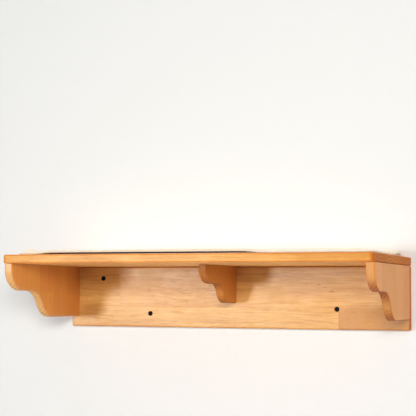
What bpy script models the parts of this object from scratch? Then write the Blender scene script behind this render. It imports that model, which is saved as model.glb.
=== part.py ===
"""Wall perch for a cat: a wooden shelf on three brackets, with a plush mat held by tape.

The top board and the three brackets are carried by a back board, which four screws hold
to the wall. All sizes are in metres. The origin is the centre of the back board's rear
face: +X runs right along the shelf, +Y into the wall and +Z up.
"""
import math
from collections.abc import Callable
from typing import NamedTuple

import bmesh
import bpy
from mathutils import Matrix, Vector

# Boards
SHELF_LENGTH = 0.600
SHELF_DEPTH = 0.260
TOP_THICKNESS = 0.014
TOP_CORNER_RADIUS = 0.008
TOP_CORNER_STEPS = 6
BACK_HEIGHT = 0.103
BACK_THICKNESS = 0.014
EDGE_ROUNDING = 0.0025
EDGE_STEPS = 3
SHARP_ANGLE = math.radians(30)

# Clearances
FIT_GAP = 0.0003
CUT_OVERRUN = 0.001

# Brackets: reach is measured from the wall, drop from the bracket's top edge
BRACKET_THICKNESS = 0.014
NOSE_STEPS = 7
OGEE_STEPS = 5
END_REACH = 0.252
END_DROP = 0.086
END_STEP_DROP = 0.0425
END_NOSE_DEPTH = 0.042
END_NOSE_HEIGHT = 0.033
END_OGEE_FRONT = 0.186
END_OGEE_REAR = 0.110
MIDDLE_REACH = 0.1545
MIDDLE_DROP = 0.061
MIDDLE_STEP_DROP = 0.030
MIDDLE_NOSE_DEPTH = 0.032
MIDDLE_NOSE_HEIGHT = 0.024
MIDDLE_OGEE_FRONT = 0.101
MIDDLE_OGEE_REAR = 0.050

# Wall screws: insets run from the nearer end bracket's inner face to the screw
WALL_SCREW_LENGTH = 0.050
WALL_SCREW_RADIUS = 0.00225
WALL_SCREW_CORE_RADIUS = 0.0016
WALL_SCREW_HEAD_RADIUS = 0.004
WALL_SCREW_HEAD_HEIGHT = 0.0026
WALL_SCREW_RIDGES = 9
UPPER_LEFT_INSET = 0.046
UPPER_RIGHT_INSET = 0.018
LOWER_LEFT_INSET = 0.136
LOWER_RIGHT_INSET = 0.1055
UPPER_SCREW_DROP = 0.020
LOWER_LEFT_RISE = 0.023
LOWER_RIGHT_RISE = 0.033

# Wall plugs
PLUG_LENGTH = 0.030
PLUG_RADIUS = 0.004
PLUG_SET_BACK = 0.003
PLUG_RIBS = 4
PLUG_RIB_DEPTH = 0.0004
PLUG_SLIT_LENGTH = 0.018
PLUG_SLIT_WIDTH = 0.0009

# Screws from behind into the brackets
BRACKET_SCREW_LENGTH = 0.040
BRACKET_SCREW_RADIUS = 0.002
BRACKET_SCREW_CORE_RADIUS = 0.0014
BRACKET_SCREW_HEAD_RADIUS = 0.0038
BRACKET_SCREW_HEAD_HEIGHT = 0.0024
BRACKET_SCREW_RIDGES = 7
BRACKET_SCREW_SINK = 0.0005
BRACKET_SCREW_UPPER_DROP = 0.022
BRACKET_SCREW_LOWER_RISE = 0.020

# Shared screw details
SCREW_SIDES = 10
HEAD_RIM = 0.0004
SCREW_TIP_LENGTH = 0.004
RECESS_ARM = 0.0021
RECESS_WIDTH = 0.0009
RECESS_DEPTH = 0.0016
RECESS_TAPER_SHARE = 0.55
PLAIN_SHANK_SHARE = 0.38
THREAD_ROOT_SHARE = 0.35

# Dowels
DOWEL_LENGTH = 0.024
DOWEL_RADIUS = 0.003
DOWEL_CHAMFER = 0.0007
DOWEL_SIDES = 12
DOWEL_COVER = 0.005
DOWEL_END_GAP = 0.0005
BACK_DOWEL_SHARES = (-0.36, -0.14, 0.14, 0.36)
BRACKET_DOWEL_SHARES = (0.40, 0.78)

# Tape under the mat's front and rear edges
TAPE_LENGTH = 0.425
TAPE_WIDTH = 0.020
TAPE_CORNER_RADIUS = 0.003
TAPE_CORNER_STEPS = 3
HOOK_THICKNESS = 0.0010
LOOP_THICKNESS = 0.0008
TAPE_INSET = 0.001

# Mat
MAT_THICKNESS = 0.005
MAT_END_INSET = 0.012
MAT_FRONT_INSET = 0.010
MAT_REAR_INSET = 0.012
MAT_CORNER_RADIUS = 0.030
MAT_CORNER_STEPS = 3
MAT_LENGTH_STEPS = 16
MAT_DEPTH_STEPS = 4
MAT_EDGE_ROUNDING = 0.0018
SAG_START_GAP = 0.006
SAG_LENGTH = 0.040
HUMP_STEEPNESS = 2

# Humps where the mat stands up off the board, placed by shares of its half length and depth
LEFT_HUMP_SHARES = (-0.96, -0.48)
LEFT_HUMP_HEIGHT = 0.007
LEFT_HUMP_RADIUS = 0.036
REAR_HUMP_SHARES = (0.93, 0.90)
REAR_HUMP_HEIGHT = 0.006
REAR_HUMP_RADIUS = 0.042
FRONT_HUMP_SHARES = (0.90, -0.62)
FRONT_HUMP_HEIGHT = 0.003
FRONT_HUMP_RADIUS = 0.030

# Places that follow from the sizes above
BACK_TOP = BACK_HEIGHT / 2
BACK_BOTTOM = -BACK_HEIGHT / 2
UNDERSIDE = BACK_TOP + FIT_GAP
TOP_FACE = UNDERSIDE + TOP_THICKNESS
END_BRACKET_X = (SHELF_LENGTH - BRACKET_THICKNESS) / 2
INNER_FACE_X = SHELF_LENGTH / 2 - BRACKET_THICKNESS
BRACKET_REAR = BACK_THICKNESS + FIT_GAP
HOOK_BASE = TOP_FACE + FIT_GAP
LOOP_BASE = HOOK_BASE + HOOK_THICKNESS + FIT_GAP
MAT_BASE = LOOP_BASE + LOOP_THICKNESS + FIT_GAP
MAT_HALF_LENGTH = SHELF_LENGTH / 2 - MAT_END_INSET
MAT_HALF_DEPTH = (SHELF_DEPTH - MAT_FRONT_INSET - MAT_REAR_INSET) / 2
MAT_CENTRE_Y = -MAT_REAR_INSET - MAT_HALF_DEPTH
FACE_ROOM = Matrix.Rotation(math.radians(90), 4, "X")
FACE_WALL = Matrix.Rotation(math.radians(-90), 4, "X")


class Finish(NamedTuple):
    """Colour, roughness and metallic value of one material."""

    name: str
    colour: tuple[float, float, float]
    roughness: float
    metallic: float = 0.0


HONEY_WOOD = Finish("honey_wood", (0.78, 0.48, 0.21), 0.45)
BRACKET_WOOD = Finish("bracket_wood", (0.74, 0.43, 0.18), 0.45)
BACK_WOOD = Finish("back_board_wood", (0.72, 0.42, 0.19), 0.48)
DOWEL_WOOD = Finish("dowel_wood", (0.80, 0.62, 0.38), 0.65)
PLUSH = Finish("cream_plush", (0.92, 0.85, 0.70), 0.95)
HOOK_TAPE = Finish("black_hook_tape", (0.018, 0.018, 0.020), 0.55)
LOOP_TAPE = Finish("black_loop_tape", (0.025, 0.025, 0.028), 0.90)
BLACK_STEEL = Finish("black_screw_steel", (0.030, 0.030, 0.032), 0.42, 0.85)
ZINC_STEEL = Finish("zinc_screw_steel", (0.62, 0.60, 0.55), 0.35, 1.0)
NYLON = Finish("grey_nylon", (0.46, 0.47, 0.48), 0.50)


class BracketShape(NamedTuple):
    """Sizes of one bracket's side outline."""

    reach: float
    drop: float
    step_drop: float
    nose_depth: float
    nose_height: float
    ogee_front: float
    ogee_rear: float


END_SHAPE = BracketShape(END_REACH, END_DROP, END_STEP_DROP, END_NOSE_DEPTH, END_NOSE_HEIGHT,
                         END_OGEE_FRONT, END_OGEE_REAR)
MIDDLE_SHAPE = BracketShape(MIDDLE_REACH, MIDDLE_DROP, MIDDLE_STEP_DROP, MIDDLE_NOSE_DEPTH,
                            MIDDLE_NOSE_HEIGHT, MIDDLE_OGEE_FRONT, MIDDLE_OGEE_REAR)


class BracketPlace(NamedTuple):
    """A bracket's name, its shape and the middle of its thickness along the shelf."""

    name: str
    shape: BracketShape
    x: float


BRACKETS = (
    BracketPlace("left", END_SHAPE, -END_BRACKET_X),
    BracketPlace("middle", MIDDLE_SHAPE, 0),
    BracketPlace("right", END_SHAPE, END_BRACKET_X),
)


class ScrewShape(NamedTuple):
    """Sizes of a countersunk screw."""

    length: float
    radius: float
    core_radius: float
    head_radius: float
    head_height: float
    ridges: int


WALL_SCREW = ScrewShape(WALL_SCREW_LENGTH, WALL_SCREW_RADIUS, WALL_SCREW_CORE_RADIUS,
                        WALL_SCREW_HEAD_RADIUS, WALL_SCREW_HEAD_HEIGHT, WALL_SCREW_RIDGES)
BRACKET_SCREW = ScrewShape(BRACKET_SCREW_LENGTH, BRACKET_SCREW_RADIUS,
                           BRACKET_SCREW_CORE_RADIUS, BRACKET_SCREW_HEAD_RADIUS,
                           BRACKET_SCREW_HEAD_HEIGHT, BRACKET_SCREW_RIDGES)

WALL_SCREW_PLACES = {
    "upper_left": (-INNER_FACE_X + UPPER_LEFT_INSET, BACK_TOP - UPPER_SCREW_DROP),
    "lower_left": (-INNER_FACE_X + LOWER_LEFT_INSET, BACK_BOTTOM + LOWER_LEFT_RISE),
    "lower_right": (INNER_FACE_X - LOWER_RIGHT_INSET, BACK_BOTTOM + LOWER_RIGHT_RISE),
    "upper_right": (INNER_FACE_X - UPPER_RIGHT_INSET, BACK_TOP - UPPER_SCREW_DROP),
}


class Hump(NamedTuple):
    """A place where the mat stands up off the board, as shares of its half length and depth."""

    length_share: float
    depth_share: float
    height: float
    radius: float


MAT_HUMPS = (
    Hump(*LEFT_HUMP_SHARES, LEFT_HUMP_HEIGHT, LEFT_HUMP_RADIUS),
    Hump(*REAR_HUMP_SHARES, REAR_HUMP_HEIGHT, REAR_HUMP_RADIUS),
    Hump(*FRONT_HUMP_SHARES, FRONT_HUMP_HEIGHT, FRONT_HUMP_RADIUS),
)


def clear_scene() -> None:
    """Remove every object that the file opened with."""
    for obj in list(bpy.data.objects):
        bpy.data.objects.remove(obj, do_unlink=True)


def make_material(finish: Finish) -> bpy.types.Material:
    """Make a Principled material from a finish, or return the one already made."""
    material = bpy.data.materials.get(finish.name)
    if material is None:
        material = bpy.data.materials.new(finish.name)
        material.use_nodes = True
        shader = material.node_tree.nodes["Principled BSDF"]
        shader.inputs["Base Color"].default_value = (*finish.colour, 1.0)
        shader.inputs["Roughness"].default_value = finish.roughness
        shader.inputs["Metallic"].default_value = finish.metallic
    return material


def make_frame(name: str, location: Vector) -> bpy.types.Object:
    """Add an empty that carries other objects."""
    frame = bpy.data.objects.new(name, None)
    frame.location = location
    bpy.context.collection.objects.link(frame)
    return frame


def mesh_from(name: str, bm: bmesh.types.BMesh) -> bpy.types.Mesh:
    """Turn a bmesh into a mesh."""
    mesh = bpy.data.meshes.new(name)
    bm.to_mesh(mesh)
    bm.free()
    return mesh


def add_piece(name: str, mesh: bpy.types.Mesh, finish: Finish, parent: bpy.types.Object,
              place: Matrix = Matrix()) -> bpy.types.Object:
    """Add a piece under its parent, with its material and smooth round faces."""
    if not mesh.materials:
        mesh.materials.append(make_material(finish))
    mesh.shade_smooth()
    mesh.set_sharp_from_angle(angle=SHARP_ANGLE)
    piece = bpy.data.objects.new(name, mesh)
    piece.parent = parent
    piece.matrix_local = place
    bpy.context.collection.objects.link(piece)
    return piece


def add_cutter(piece: bpy.types.Object, bm: bmesh.types.BMesh) -> bpy.types.Object:
    """Cut a piece with the solids in a bmesh, given in the piece's own space."""
    cutter = bpy.data.objects.new(piece.name + "_cuts", mesh_from(piece.name + "_cuts", bm))
    cutter.parent = piece
    cutter.hide_render = True
    cutter.display_type = "WIRE"
    bpy.context.collection.objects.link(cutter)
    cut = piece.modifiers.new("cuts", "BOOLEAN")
    cut.operation = "DIFFERENCE"
    cut.solver = "EXACT"
    cut.object = cutter
    return cutter


def round_edges(piece: bpy.types.Object, width: float, limit: str) -> None:
    """Round a piece's edges, chosen by their angle or by their bevel weight."""
    bevel = piece.modifiers.new("round_edges", "BEVEL")
    bevel.width = width
    bevel.segments = EDGE_STEPS
    bevel.limit_method = limit
    bevel.angle_limit = SHARP_ANGLE


def add_turned(bm: bmesh.types.BMesh, profile: list, sides: int, place: Matrix = Matrix(),
               tube: bool = False) -> None:
    """Add a solid turned about Z. Its profile is (radius, height) from top to bottom.

    A tube's profile runs down its outside and up its bore, and closes on itself.
    """
    rings = []
    for radius, height in profile:
        count = sides if radius > 0 else 1
        angles = [math.tau * step / sides for step in range(count)]
        points = [Vector((radius * math.cos(a), radius * math.sin(a), height)) for a in angles]
        rings.append([bm.verts.new(place @ point) for point in points])
    lower_rings = rings[1:] + rings[:1] if tube else rings[1:]
    for upper, lower in zip(rings, lower_rings):
        for step in range(sides):
            after = (step + 1) % sides
            corners = [upper[step % len(upper)], lower[step % len(lower)],
                       lower[after % len(lower)], upper[after % len(upper)]]
            bm.faces.new(dict.fromkeys(corners))


def add_drilling(bm: bmesh.types.BMesh, radius: float, depth: float, place: Matrix,
                 sides: int = DOWEL_SIDES) -> None:
    """Add a straight hole that starts just outside the face at the place's origin."""
    profile = [(0, CUT_OVERRUN), (radius, CUT_OVERRUN), (radius, -depth), (0, -depth)]
    add_turned(bm, profile, sides, place)


def add_plate(bm: bmesh.types.BMesh, outline: list, rise: Vector) -> None:
    """Add a flat plate: an outline and its copy, raised by its thickness."""
    face = bm.faces.new([bm.verts.new(point) for point in outline])
    raised = bmesh.ops.extrude_face_region(bm, geom=[face], use_keep_orig=True)
    raised_verts = [item for item in raised["geom"] if isinstance(item, bmesh.types.BMVert)]
    bmesh.ops.translate(bm, verts=raised_verts, vec=rise)
    bmesh.ops.recalc_face_normals(bm, faces=bm.faces)


def arc(centre: tuple, radii: tuple, start: float, end: float, steps: int) -> list:
    """Points along a round or oval arc, with both ends, from angles in degrees."""
    points = []
    for step in range(steps + 1):
        angle = math.radians(start + (end - start) * step / steps)
        points.append((centre[0] + radii[0] * math.cos(angle), centre[1] + radii[1] * math.sin(angle)))
    return points


def rounded_rectangle(half_x: float, half_y: float, radius: float, steps: int) -> list:
    """Outline of a rectangle with four round corners, round the origin."""
    outline = []
    for turn, (side_x, side_y) in enumerate(((1, 1), (-1, 1), (-1, -1), (1, -1))):
        centre = (side_x * (half_x - radius), side_y * (half_y - radius))
        start = 90 * turn
        outline += arc(centre, (radius, radius), start, start + 90, steps)
    return outline


def top_board_outline() -> list:
    """Plan of the top board: square against the wall, with round front corners."""
    half = SHELF_LENGTH / 2
    radius = TOP_CORNER_RADIUS
    corner_y = -SHELF_DEPTH + radius
    outline = [(half, 0), (-half, 0)]
    outline += arc((-half + radius, corner_y), (radius, radius), 180, 270, TOP_CORNER_STEPS)
    outline += arc((half - radius, corner_y), (radius, radius), 270, 360, TOP_CORNER_STEPS)
    return [Vector((x, y, 0)) for x, y in outline]


def bracket_outline(shape: BracketShape) -> list:
    """Side of a bracket as (reach, drop): rounded nose, flat step, ogee and flat heel."""
    nose_centre = (shape.reach - shape.nose_depth, shape.step_drop - shape.nose_height)
    nose = arc(nose_centre, (shape.nose_depth, shape.nose_height), 0, 90, NOSE_STEPS)
    run = shape.ogee_front - shape.ogee_rear
    fall = shape.drop - shape.step_drop
    slope = 2 * math.atan2(fall, run)
    radius = run / (2 * math.sin(slope))
    hollow = []
    swell = []
    for step in range(OGEE_STEPS + 1):
        angle = slope * step / OGEE_STEPS
        along = radius * math.sin(angle)
        down = radius * (1 - math.cos(angle))
        hollow.append((shape.ogee_front - along, shape.step_drop + down))
        swell.append((shape.ogee_rear + along, shape.drop - down))
    swell = swell[::-1][1:]
    return [(BRACKET_REAR, 0), (shape.reach, 0), *nose, *hollow, *swell, (BRACKET_REAR, shape.drop)]


def dowel_top() -> float:
    """Height of a dowel's upper end, inside the top board."""
    return TOP_FACE - DOWEL_COVER - DOWEL_END_GAP


def dowel_hole_depth() -> float:
    """Depth of a dowel's hole below the top edge of the piece that it enters."""
    return BACK_TOP - dowel_top() + DOWEL_LENGTH + DOWEL_END_GAP


def dowel_places() -> dict:
    """Each dowel's name and its place in plan."""
    places = {}
    for number, share in enumerate(BACK_DOWEL_SHARES, start=1):
        places[f"back_dowel_{number}"] = (share * SHELF_LENGTH, -BACK_THICKNESS / 2)
    for bracket in BRACKETS:
        for label, share in zip(("rear", "front"), BRACKET_DOWEL_SHARES):
            places[f"{bracket.name}_bracket_dowel_{label}"] = (bracket.x, -bracket.shape.reach * share)
    return places


def bracket_screw_drops(shape: BracketShape) -> dict:
    """Depths of a bracket's two screws below its top edge."""
    return {"upper": BRACKET_SCREW_UPPER_DROP, "lower": shape.drop - BRACKET_SCREW_LOWER_RISE}


def bracket_screw_places() -> dict:
    """Each bracket screw's name and its place, with its head sunk in the rear face."""
    places = {}
    for bracket in BRACKETS:
        for label, drop in bracket_screw_drops(bracket.shape).items():
            head = Vector((bracket.x, -BRACKET_SCREW_SINK, BACK_TOP - drop))
            places[f"{bracket.name}_bracket_screw_{label}"] = Matrix.Translation(head) @ FACE_WALL
    return places


def wall_screw_places() -> dict:
    """Each wall screw's corner of the board and its place, with its head flush in front."""
    places = {}
    for corner, (x, z) in WALL_SCREW_PLACES.items():
        head = Vector((x, -BACK_THICKNESS, z))
        places[corner] = Matrix.Translation(head) @ FACE_ROOM
    return places


def screw_profile(screw: ScrewShape) -> list:
    """Turned profile of a screw, with its head's face at height zero and its point below."""
    profile = [(0, 0), (screw.head_radius, 0), (screw.head_radius, -HEAD_RIM),
               (screw.radius, -screw.head_height)]
    thread_start = screw.head_height + (screw.length - screw.head_height) * PLAIN_SHANK_SHARE
    thread_end = screw.length - SCREW_TIP_LENGTH
    pitch = (thread_end - thread_start) / screw.ridges
    profile.append((screw.radius, -thread_start))
    for ridge in range(screw.ridges):
        root = thread_start + pitch * (ridge + THREAD_ROOT_SHARE)
        crest = thread_start + pitch * (ridge + 1)
        profile.append((screw.core_radius, -root))
        profile.append((screw.radius, -crest))
    profile.append((0, -screw.length))
    return profile


def screw_clearance(screw: ScrewShape, depth: float, sink: float) -> list:
    """Turned profile of the countersunk hole round a screw's head and shank."""
    head_radius = screw.head_radius + FIT_GAP
    shank_radius = screw.radius + FIT_GAP
    mouth = sink + CUT_OVERRUN
    return [(0, mouth), (head_radius, mouth), (head_radius, -HEAD_RIM),
            (shank_radius, -screw.head_height), (shank_radius, -depth), (0, -depth)]


def add_cross(bm: bmesh.types.BMesh) -> None:
    """Add the tapered cross of a screwdriver recess, sunk from height zero."""
    arm = RECESS_ARM
    half = RECESS_WIDTH / 2
    quarter = [(arm, -half), (arm, half), (half, half)]
    turns = [Matrix.Rotation(math.radians(90 * turn), 4, "Z") for turn in range(4)]
    outline = [turn @ Vector((x, y, CUT_OVERRUN)) for turn in turns for x, y in quarter]
    upper = [bm.verts.new(point) for point in outline]
    lower = [bm.verts.new((point.x * RECESS_TAPER_SHARE, point.y * RECESS_TAPER_SHARE, -RECESS_DEPTH))
             for point in outline]
    bm.faces.new(upper)
    bm.faces.new(lower[::-1])
    for step in range(len(outline)):
        after = (step + 1) % len(outline)
        bm.faces.new((upper[step], lower[step], lower[after], upper[after]))


def finished_mesh(name: str, solid: bmesh.types.BMesh, cuts: bmesh.types.BMesh) -> bpy.types.Mesh:
    """Cut one solid with another and return the result, for pieces that share a mesh."""
    blank = bpy.data.objects.new(name, mesh_from(name, solid))
    bpy.context.collection.objects.link(blank)
    cutter = add_cutter(blank, cuts)
    evaluated = blank.evaluated_get(bpy.context.evaluated_depsgraph_get())
    mesh = bpy.data.meshes.new_from_object(evaluated)
    bpy.data.objects.remove(cutter, do_unlink=True)
    bpy.data.objects.remove(blank, do_unlink=True)
    return mesh


def screw_mesh(name: str, screw: ScrewShape) -> bpy.types.Mesh:
    """A countersunk screw with a cross recess."""
    solid = bmesh.new()
    add_turned(solid, screw_profile(screw), SCREW_SIDES)
    cross = bmesh.new()
    add_cross(cross)
    return finished_mesh(name, solid, cross)


def plug_mesh() -> bpy.types.Mesh:
    """A ribbed wall plug, bored through and slit crosswise at its inner end."""
    bore = WALL_SCREW_RADIUS + FIT_GAP
    pitch = PLUG_LENGTH / PLUG_RIBS
    outside = []
    for rib in range(PLUG_RIBS):
        outside.append((PLUG_RADIUS, -pitch * rib))
        outside.append((PLUG_RADIUS - PLUG_RIB_DEPTH, -pitch * (rib + 1)))
    profile = outside + [(bore, -PLUG_LENGTH), (bore, 0)]
    solid = bmesh.new()
    add_turned(solid, profile, SCREW_SIDES, tube=True)
    slits = bmesh.new()
    reach = PLUG_RADIUS + CUT_OVERRUN
    depth = PLUG_SLIT_LENGTH + CUT_OVERRUN
    height = -PLUG_LENGTH - CUT_OVERRUN
    for angle in (0, 90):
        turn = Matrix.Rotation(math.radians(angle), 4, "Z")
        size = Matrix.Diagonal((2 * reach, PLUG_SLIT_WIDTH, depth, 1))
        centre = Matrix.Translation((0, 0, height + depth / 2))
        bmesh.ops.create_cube(slits, size=1, matrix=centre @ turn @ size)
    return finished_mesh("wall_plug", solid, slits)


def dowel_mesh() -> bpy.types.Mesh:
    """A round dowel with chamfered ends, hanging down from height zero."""
    narrow = DOWEL_RADIUS - DOWEL_CHAMFER
    profile = [(0, 0), (narrow, 0), (DOWEL_RADIUS, -DOWEL_CHAMFER),
               (DOWEL_RADIUS, -DOWEL_LENGTH + DOWEL_CHAMFER), (narrow, -DOWEL_LENGTH),
               (0, -DOWEL_LENGTH)]
    bm = bmesh.new()
    add_turned(bm, profile, DOWEL_SIDES)
    return mesh_from("dowel", bm)


def build_top_board(wall: bpy.types.Object) -> None:
    """The top board, with its dowel holes in the underside."""
    bm = bmesh.new()
    add_plate(bm, top_board_outline(), Vector((0, 0, TOP_THICKNESS)))
    board = add_piece("top_board", mesh_from("top_board", bm), HONEY_WOOD, wall,
                      Matrix.Translation((0, 0, UNDERSIDE)))
    round_edges(board, EDGE_ROUNDING, "ANGLE")
    cuts = bmesh.new()
    upward = Matrix.Rotation(math.radians(180), 4, "X")
    for x, y in dowel_places().values():
        depth = TOP_THICKNESS - DOWEL_COVER
        add_drilling(cuts, DOWEL_RADIUS + FIT_GAP, depth, Matrix.Translation((x, y, 0)) @ upward)
    add_cutter(board, cuts)


def weight_edges(bm: bmesh.types.BMesh, chosen: Callable) -> None:
    """Mark the edges that are to be rounded, those whose two ends pass a test."""
    layer = bm.edges.layers.float.new("bevel_weight_edge")
    for edge in bm.edges:
        first, second = (vert.co for vert in edge.verts)
        edge[layer] = 1 if chosen(first, second) else 0


def below_top_edge(first: Vector, second: Vector) -> bool:
    """Whether an edge of the back board is not one of its upper edges."""
    return min(first.z, second.z) < 0


def on_bracket_outline(first: Vector, second: Vector) -> bool:
    """Whether an edge runs along a bracket's outline, away from the two boards."""
    across = first.x != second.x
    at_top = first.z == 0 and second.z == 0
    at_rear = first.y == second.y and first.z != second.z and first.y > -BRACKET_REAR - FIT_GAP
    return not (across or at_top or at_rear)


def build_back_board(wall: bpy.types.Object) -> None:
    """The back board, with its upper edges left square under the top board."""
    half = SHELF_LENGTH / 2
    corners = ((-half, BACK_BOTTOM), (half, BACK_BOTTOM), (half, BACK_TOP), (-half, BACK_TOP))
    bm = bmesh.new()
    add_plate(bm, [Vector((x, 0, z)) for x, z in corners], Vector((0, -BACK_THICKNESS, 0)))
    weight_edges(bm, below_top_edge)
    board = add_piece("back_board", mesh_from("back_board", bm), BACK_WOOD, wall)
    round_edges(board, EDGE_ROUNDING, "WEIGHT")
    cuts = bmesh.new()
    for x, y in list(dowel_places().values())[:len(BACK_DOWEL_SHARES)]:
        add_drilling(cuts, DOWEL_RADIUS + FIT_GAP, dowel_hole_depth(), Matrix.Translation((x, y, BACK_TOP)))
    through = BACK_THICKNESS + CUT_OVERRUN
    for place in wall_screw_places().values():
        add_turned(cuts, screw_clearance(WALL_SCREW, through, 0), DOWEL_SIDES, place)
    for place in bracket_screw_places().values():
        clearance = screw_clearance(BRACKET_SCREW, through, BRACKET_SCREW_SINK)
        add_turned(cuts, clearance, DOWEL_SIDES, place)
    add_cutter(board, cuts)


def build_bracket(bracket: BracketPlace, wall: bpy.types.Object) -> None:
    """One bracket, square where it meets the boards and rounded along its outline."""
    shape = bracket.shape
    half = BRACKET_THICKNESS / 2
    bm = bmesh.new()
    outline = [Vector((-half, -reach, -drop)) for reach, drop in bracket_outline(shape)]
    add_plate(bm, outline, Vector((BRACKET_THICKNESS, 0, 0)))
    weight_edges(bm, on_bracket_outline)
    name = bracket.name + "_bracket"
    piece = add_piece(name, mesh_from(name, bm), BRACKET_WOOD, wall,
                      Matrix.Translation((bracket.x, 0, BACK_TOP)))
    round_edges(piece, EDGE_ROUNDING, "WEIGHT")
    cuts = bmesh.new()
    for share in BRACKET_DOWEL_SHARES:
        hole = Matrix.Translation((0, -shape.reach * share, 0))
        add_drilling(cuts, DOWEL_RADIUS + FIT_GAP, dowel_hole_depth(), hole)
    pilot_depth = BRACKET_SCREW_SINK + BRACKET_SCREW_LENGTH + CUT_OVERRUN - BRACKET_REAR
    for drop in bracket_screw_drops(shape).values():
        hole = Matrix.Translation((0, -BRACKET_REAR, -drop)) @ FACE_WALL
        add_drilling(cuts, BRACKET_SCREW_RADIUS + FIT_GAP, pilot_depth, hole, SCREW_SIDES)
    add_cutter(piece, cuts)


def build_fasteners(wall: bpy.types.Object) -> None:
    """Dowels, bracket screws, wall screws and wall plugs."""
    dowel = dowel_mesh()
    for name, (x, y) in dowel_places().items():
        add_piece(name, dowel, DOWEL_WOOD, wall, Matrix.Translation((x, y, dowel_top())))
    bracket_screw = screw_mesh("bracket_screw", BRACKET_SCREW)
    for name, place in bracket_screw_places().items():
        add_piece(name, bracket_screw, ZINC_STEEL, wall, place)
    wall_screw = screw_mesh("wall_screw", WALL_SCREW)
    plug = plug_mesh()
    to_plug = Matrix.Translation((0, 0, -BACK_THICKNESS - PLUG_SET_BACK))
    for corner, place in wall_screw_places().items():
        add_piece("wall_screw_" + corner, wall_screw, BLACK_STEEL, wall, place)
        add_piece("wall_plug_" + corner, plug, NYLON, wall, place @ to_plug)


def tape_mesh(name: str, thickness: float) -> bpy.types.Mesh:
    """A strip of tape with rounded corners, on height zero."""
    outline = rounded_rectangle(TAPE_LENGTH / 2, TAPE_WIDTH / 2, TAPE_CORNER_RADIUS, TAPE_CORNER_STEPS)
    bm = bmesh.new()
    add_plate(bm, [Vector((x, y, 0)) for x, y in outline], Vector((0, 0, thickness)))
    return mesh_from(name, bm)


def build_tapes(wall: bpy.types.Object, mat_frame: bpy.types.Object) -> None:
    """Hook strips on the board and loop strips under the mat, at its front and rear."""
    hook = tape_mesh("hook_strip", HOOK_THICKNESS)
    loop = tape_mesh("loop_strip", LOOP_THICKNESS)
    offset = MAT_HALF_DEPTH - TAPE_INSET - TAPE_WIDTH / 2
    for label, y in (("front", MAT_CENTRE_Y - offset), ("rear", MAT_CENTRE_Y + offset)):
        on_board = Vector((0, y, HOOK_BASE))
        under_mat = Vector((0, y, LOOP_BASE)) - mat_frame.location
        add_piece("hook_strip_" + label, hook, HOOK_TAPE, wall, Matrix.Translation(on_board))
        add_piece("loop_strip_" + label, loop, LOOP_TAPE, mat_frame, Matrix.Translation(under_mat))


def grid_lines(half: float, steps: int) -> list:
    """Grid lines across the mat, with closer ones through its round corners."""
    corner = half - MAT_CORNER_RADIUS
    lines = [corner + MAT_CORNER_RADIUS * step / MAT_CORNER_STEPS
             for step in range(1, MAT_CORNER_STEPS + 1)]
    middle = [corner * (2 * step / steps - 1) for step in range(steps + 1)]
    return [-line for line in lines[::-1]] + middle + lines


def rounded_point(x: float, y: float) -> tuple:
    """Move a grid point near a square corner onto the round corner's own rings."""
    over_x = abs(x) - MAT_HALF_LENGTH + MAT_CORNER_RADIUS
    over_y = abs(y) - MAT_HALF_DEPTH + MAT_CORNER_RADIUS
    if min(over_x, over_y) <= 0:
        return x, y
    pull = max(over_x, over_y) / math.hypot(over_x, over_y)
    return (math.copysign(abs(x) + over_x * (pull - 1), x),
            math.copysign(abs(y) + over_y * (pull - 1), y))


def mat_height(x: float, y: float) -> float:
    """Height of the mat's underside: flat over the tape, down at the ends, up at the humps."""
    past_tape = abs(x) - TAPE_LENGTH / 2 - SAG_START_GAP
    sag = min(max(past_tape / SAG_LENGTH, 0), 1)
    height = -(MAT_BASE - HOOK_BASE) * sag * sag * (3 - 2 * sag)
    for hump in MAT_HUMPS:
        away_x = x - hump.length_share * MAT_HALF_LENGTH
        away_y = y - hump.depth_share * MAT_HALF_DEPTH
        away = (away_x * away_x + away_y * away_y) / (hump.radius * hump.radius)
        height += hump.height * math.exp(-HUMP_STEEPNESS * away)
    return height


def build_mat(mat_frame: bpy.types.Object) -> None:
    """The plush mat, a rounded sheet with thickness that follows its own sag and humps."""
    bm = bmesh.new()
    rows = []
    for y in grid_lines(MAT_HALF_DEPTH, MAT_DEPTH_STEPS):
        row = []
        for x in grid_lines(MAT_HALF_LENGTH, MAT_LENGTH_STEPS):
            round_x, round_y = rounded_point(x, y)
            row.append(bm.verts.new((round_x, round_y, mat_height(round_x, round_y))))
        rows.append(row)
    for near, far in zip(rows, rows[1:]):
        for step in range(len(near) - 1):
            bm.faces.new((near[step], near[step + 1], far[step + 1], far[step]))
    mat = add_piece("mat", mesh_from("mat", bm), PLUSH, mat_frame)
    thicken = mat.modifiers.new("thickness", "SOLIDIFY")
    thicken.thickness = MAT_THICKNESS
    thicken.offset = 1
    round_edges(mat, MAT_EDGE_ROUNDING, "ANGLE")


def main() -> None:
    """Build every piece of the perch."""
    clear_scene()
    wall = make_frame("wall_frame", Vector((0, 0, 0)))
    mat_frame = make_frame("mat_frame", Vector((0, MAT_CENTRE_Y, MAT_BASE)))
    build_top_board(wall)
    build_back_board(wall)
    for bracket in BRACKETS:
        build_bracket(bracket, wall)
    build_fasteners(wall)
    build_tapes(wall, mat_frame)
    build_mat(mat_frame)


main()
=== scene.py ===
"""Looks of a wall perch for a pet: lacquered boards on brackets, a plush mat, tape and fixings.

Each sub-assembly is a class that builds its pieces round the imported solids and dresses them.
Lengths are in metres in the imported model's frame: +X right along the shelf, +Y into the wall
and +Z up, from the centre of the back board's rear face.
"""
import logging
import math
from collections.abc import Callable
from dataclasses import dataclass, field, replace
from enum import Enum
from functools import cache

import bmesh
import bpy
from mathutils import Matrix, Vector


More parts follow.
